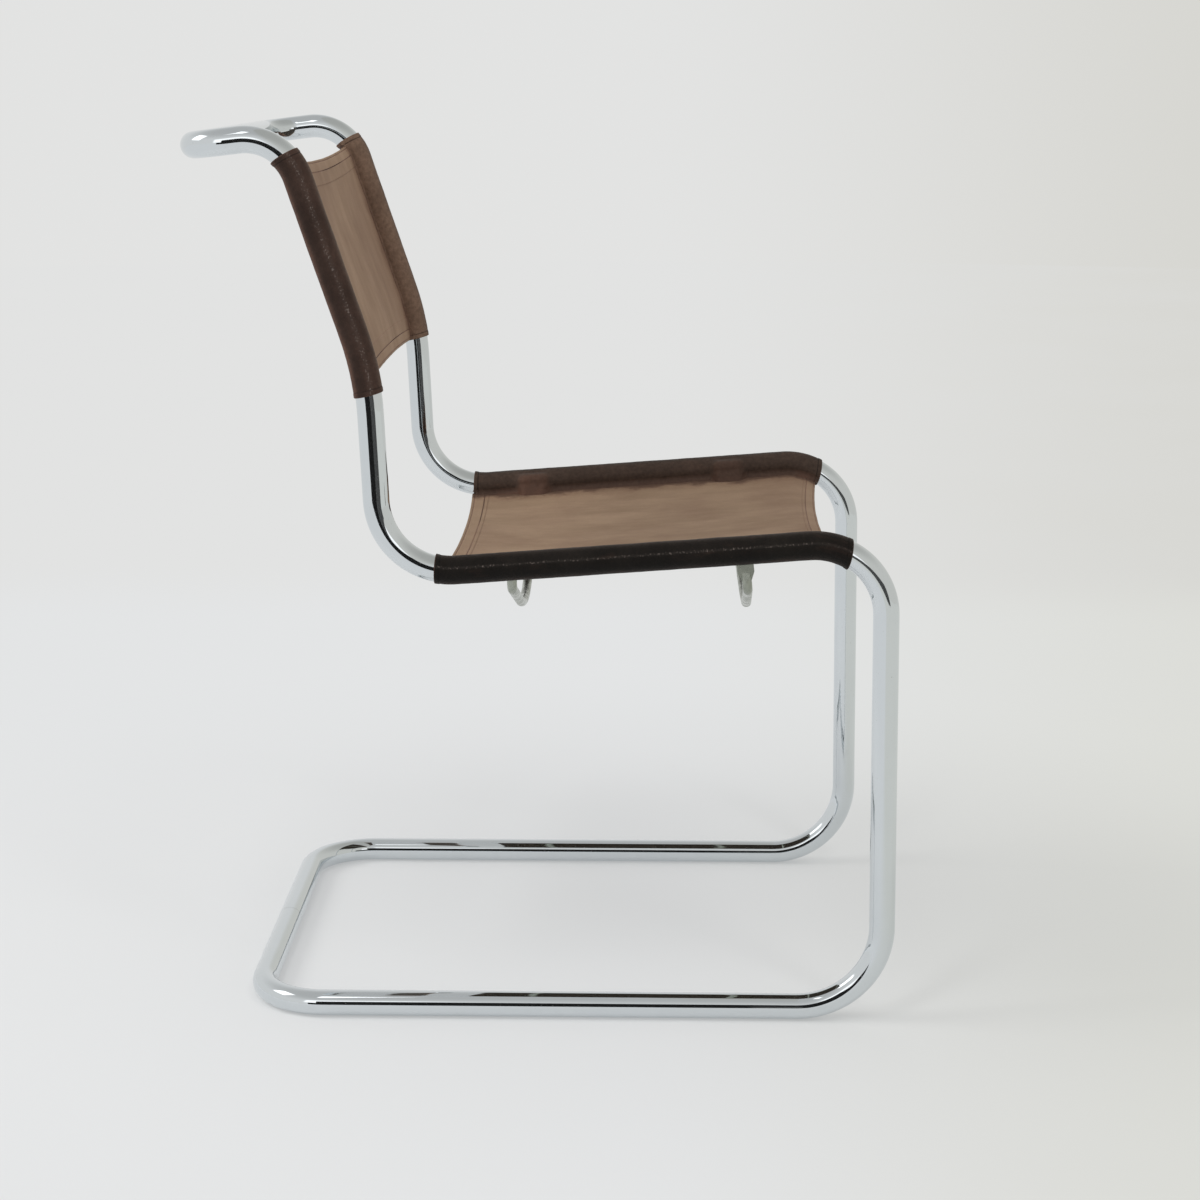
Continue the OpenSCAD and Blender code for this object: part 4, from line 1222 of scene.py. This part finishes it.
def dress_sling(context, which, sizes, pockets=None):
    """Makes the panel, the two sleeves and the stitches of one sling."""
    colours, tube, looks = context.scene.chair_colours, context.scene.chair_tube, SLING_LOOKS[which]
    sling = Sling(rails(tube)[which], tube, sizes)
    thread = bpy.data.materials.get("sewing_thread") or thread_material(colours)
    tone, outer, inner = (tuple(getattr(colours, f"{which}_{part}")) for part in ("panel", "outer", "inner"))
    panel_leather = panel_material(which + "_cloth", tone, inner, sizes, colours, looks["dye"])
    sleeve_leather = sleeve_material(which + "_sleeve_cloth", outer, inner, colours, looks["worn"], looks["rear"])

    panel = panel_piece(which + "_panel_cloth", sling, pockets)
    wear(panel, panel_leather)
    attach(panel, BODY)
    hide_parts(which + "_panel")
    hems = stitch_piece(which + "_hem_stitches", hem_rows(sling), sizes, thread)
    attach(hems, BODY)
    seams = stitch_piece(which + "_flap_stitches", flap_rows(sling), sizes, thread)
    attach(seams, BODY)
    for hand, side in ((1, "left"), (-1, "right")):
        name = f"{which}_sleeve_{side}"
        sleeve, girth, run = sleeve_piece(name + "_cloth", sling, hand, pockets)
        wear(sleeve, sleeve_leather)
        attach(sleeve, BODY)
        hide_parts(name)


class CHAIR_OT_seat_sling(bpy.types.Operator):
    """Makes the seat's panel, sleeves and stitches"""

    bl_idname = "chair.seat_sling"
    bl_label = "Seat sling"

    def execute(self, context):
        dress_sling(context, "seat", context.scene.chair_seat, context.scene.chair_pockets)
        return {"FINISHED"}


class CHAIR_OT_back_sling(bpy.types.Operator):
    """Makes the back's panel, sleeves and stitches"""

    bl_idname = "chair.back_sling"
    bl_label = "Back sling"

    def execute(self, context):
        dress_sling(context, "back", context.scene.chair_back)
        return {"FINISHED"}


# Studio


def floor_material(colours, eye):
    """Pale floor: part lit by the lamps, part its own colour to the eye, all its own colour far away."""
    material, tree = new_material("studio_floor")
    at = place_of(tree)
    left = use(tree, sideways_group, {"Vector": vector_maths(tree, "SUBTRACT", at, tuple(eye))})["Mask"]
    # painted shade: darker and warmer towards the picture's right
    floor = mix(tree, left, colours.floor_right, colours.floor_left)
    wall = mix(tree, left, colours.room_right, colours.room_left)
    base = mix(tree, scaled(tree, parts_of(tree, at)[0], 0, 1, 1.45, 1.95, True), floor, wall)
    base = layers(tree, base, (clouds(tree, at, 1.3, 3.0), 0.3, tint(colours.floor_left, 0.96)))
    matt = out(tree, "ShaderNodeBsdfDiffuse", {"Color": base})
    glow = out(tree, "ShaderNodeEmission", {"Color": base, "Strength": 1.0})
    distance = node(tree, "ShaderNodeVectorMath", {0: at}, operation="LENGTH").outputs["Value"]
    own = scaled(tree, distance, 0.42, 1, 0.5, 1.15, True)
    rays = node(tree, "ShaderNodeLightPath").outputs
    seen = maths(tree, "MAXIMUM", rays["Is Camera Ray"], rays["Is Glossy Ray"])
    two_shaders(tree, maths(tree, "MULTIPLY", seen, own), matt, glow)
    return material


def screen_material(grey):
    material, tree = new_material("dark_screen")
    principled(tree, {"Base Color": (grey, grey, grey, 1), "Roughness": 1})
    return material


def glow_material(name, size, strength):
    """A bright pane that fades out towards its edges."""
    material, tree = new_material(name)
    parts = parts_of(tree, place_of(tree))
    sides = [scaled(tree, maths(tree, "ABSOLUTE", part), 1, 0, 0.3 * width, 0.5 * width, True)
             for part, width in zip(parts, size)]
    two_shaders(tree, maths(tree, "MULTIPLY", *sides), out(tree, "ShaderNodeBsdfTransparent"),
                out(tree, "ShaderNodeEmission", {"Strength": strength}))
    return material


def stage_face(name, corners, material):
    """A flat piece of the studio."""
    mesh = bpy.data.meshes.new(name)
    mesh.from_pydata(corners, [], [list(range(len(corners)))])
    obj = linked(name, mesh)
    wear(obj, material)
    return obj


def mirrored_face(name, low, high, material, at=None):
    """A stage piece between two corners that only mirroring surfaces show, upright at x or flat round its middle."""
    (a0, b0), (a1, b1) = low, high
    corners = [(a0, b0), (a1, b0), (a1, b1), (a0, b1)]
    obj = stage_face(name, [(*c, 0) if at is None else (at, *c) for c in corners], material)
    for ray in ("camera", "diffuse", "shadow", "transmission"):
        setattr(obj, "visible_" + ray, False)
    return obj


def facing(place, target):
    return (Vector(target) - Vector(place)).to_track_quat("-Z", "Y")


def add_glow(name, place, target, size, strength):
    x, y = size[0] / 2, size[1] / 2
    pane = mirrored_face(name, (-x, -y), (x, y), glow_material(name, size, strength))
    pane.matrix_world = Matrix.Translation(Vector(place)) @ facing(place, target).to_matrix().to_4x4()


def add_lamp(name, place, target, size, power, tone):
    data = bpy.data.lights.new(name, "AREA")
    data.shape = "RECTANGLE"
    data.size, data.size_y = size
    data.energy, data.color = power, tone
    lamp = linked(name, data)
    lamp.location, lamp.rotation_euler = place, facing(place, target).to_euler()
    lamp.visible_glossy = False


def add_room(scene, colours):
    """The room as the eye and mirroring surfaces see it, and plain soft light for everything else."""
    scene.world = bpy.data.worlds.new("studio_room")
    tree = emptied(scene.world)
    way = node(tree, "ShaderNodeTexCoord").outputs["Generated"]
    # painted shade: the wall darker and warmer towards the picture's right
    tone = mix(tree, use(tree, sideways_group, {"Vector": way})["Mask"], colours.room_right, colours.room_left)
    rays = node(tree, "ShaderNodeLightPath").outputs
    # mirrored, the ceiling is darker than the walls
    dim = maths(tree, "MULTIPLY", rays["Is Glossy Ray"],
                scaled(tree, parts_of(tree, way)[2], 0, 0.3, 0.35, 0.95, True))
    room = out(tree, "ShaderNodeBackground", {"Color": tone, "Strength": maths(tree, "SUBTRACT", 1.0, dim)})
    soft = out(tree, "ShaderNodeBackground", {"Color": (1, 1, 1, 1), "Strength": SOFT_LIGHT})
    seen = maths(tree, "MAXIMUM", rays["Is Camera Ray"], rays["Is Glossy Ray"])
    seen = maths(tree, "MAXIMUM", seen, rays["Is Transmission Ray"])
    two_shaders(tree, seen, soft, room, "ShaderNodeOutputWorld")


def add_camera(scene, studio):
    data = bpy.data.cameras.new("camera")
    data.sensor_width, data.lens = studio.sensor, studio.lens
    data.clip_start, data.clip_end = 0.05, 100
    camera = linked("camera", data)
    turned = Vector(studio.look).normalized().to_track_quat("-Z", "Y").to_matrix().to_4x4()
    camera.matrix_world = Matrix.Translation(Vector(studio.eye)) @ turned @ Matrix.Rotation(studio.roll, 4, "Z")
    scene.camera = camera


class CHAIR_OT_studio(bpy.types.Operator):
    """Sets up the floor, the room's light, the lamps and the camera"""

    bl_idname = "chair.studio"
    bl_label = "Studio"

    def execute(self, context):
        scene, studio, colours = context.scene, context.scene.chair_studio, context.scene.chair_colours
        ring = [(FLOOR_RADIUS * math.cos(t), FLOOR_RADIUS * math.sin(t), 0)
                for t in np.linspace(0, 2 * math.pi, FLOOR_SIDES + 1)[:-1]]
        stage_face("studio_floor", ring, floor_material(colours, studio.eye))
        for name, low, high, grey in SCREENS:
            mirrored_face(name, low, high, screen_material(grey), at=studio.eye[0] - SCREEN_GAP)
        add_room(scene, colours)
        for lamp in LAMPS:
            add_lamp(*lamp)
        for glow in GLOWS:
            add_glow(*glow)
        add_camera(scene, studio)
        scene.view_settings.view_transform = "Standard"
        return {"FINISHED"}


class CHAIR_PT_panel(bpy.types.Panel):
    """Lists the chair's operators in the sidebar"""

    bl_label = "Cantilever chair"
    bl_space_type = "VIEW_3D"
    bl_region_type = "UI"
    bl_category = "Chair"

    def draw(self, context):
        for operator in OPERATORS:
            self.layout.operator(operator.bl_idname)
        for name in PROPERTIES:
            box = self.layout.box()
            settings = getattr(context.scene, name)
            for key in settings.bl_rna.properties.keys():
                if key not in ("rna_type", "name"):
                    box.prop(settings, key)


OPERATORS = (CHAIR_OT_chrome_frame, CHAIR_OT_fittings, CHAIR_OT_seat_sling, CHAIR_OT_back_sling, CHAIR_OT_studio)
PROPERTIES = {
    "chair_tube": ChairTubeSizes,
    "chair_seat": SeatSlingSizes,
    "chair_back": BackSlingSizes,
    "chair_pockets": PocketSizes,
    "chair_colours": ChairColours,
    "chair_studio": StudioSettings,
}


def register():
    for cls in (*PROPERTIES.values(), *OPERATORS, CHAIR_PT_panel):
        bpy.utils.register_class(cls)
    for name, cls in PROPERTIES.items():
        setattr(bpy.types.Scene, name, PointerProperty(type=cls))


def unregister():
    for name in PROPERTIES:
        delattr(bpy.types.Scene, name)
    for cls in (CHAIR_PT_panel, *OPERATORS[::-1], *list(PROPERTIES.values())[::-1]):
        bpy.utils.unregister_class(cls)


def main():
    register()
    bpy.ops.chair.studio()
    bpy.ops.chair.chrome_frame()
    bpy.ops.chair.fittings()
    bpy.ops.chair.seat_sling()
    bpy.ops.chair.back_sling()


if __name__ == "__main__":
    main()
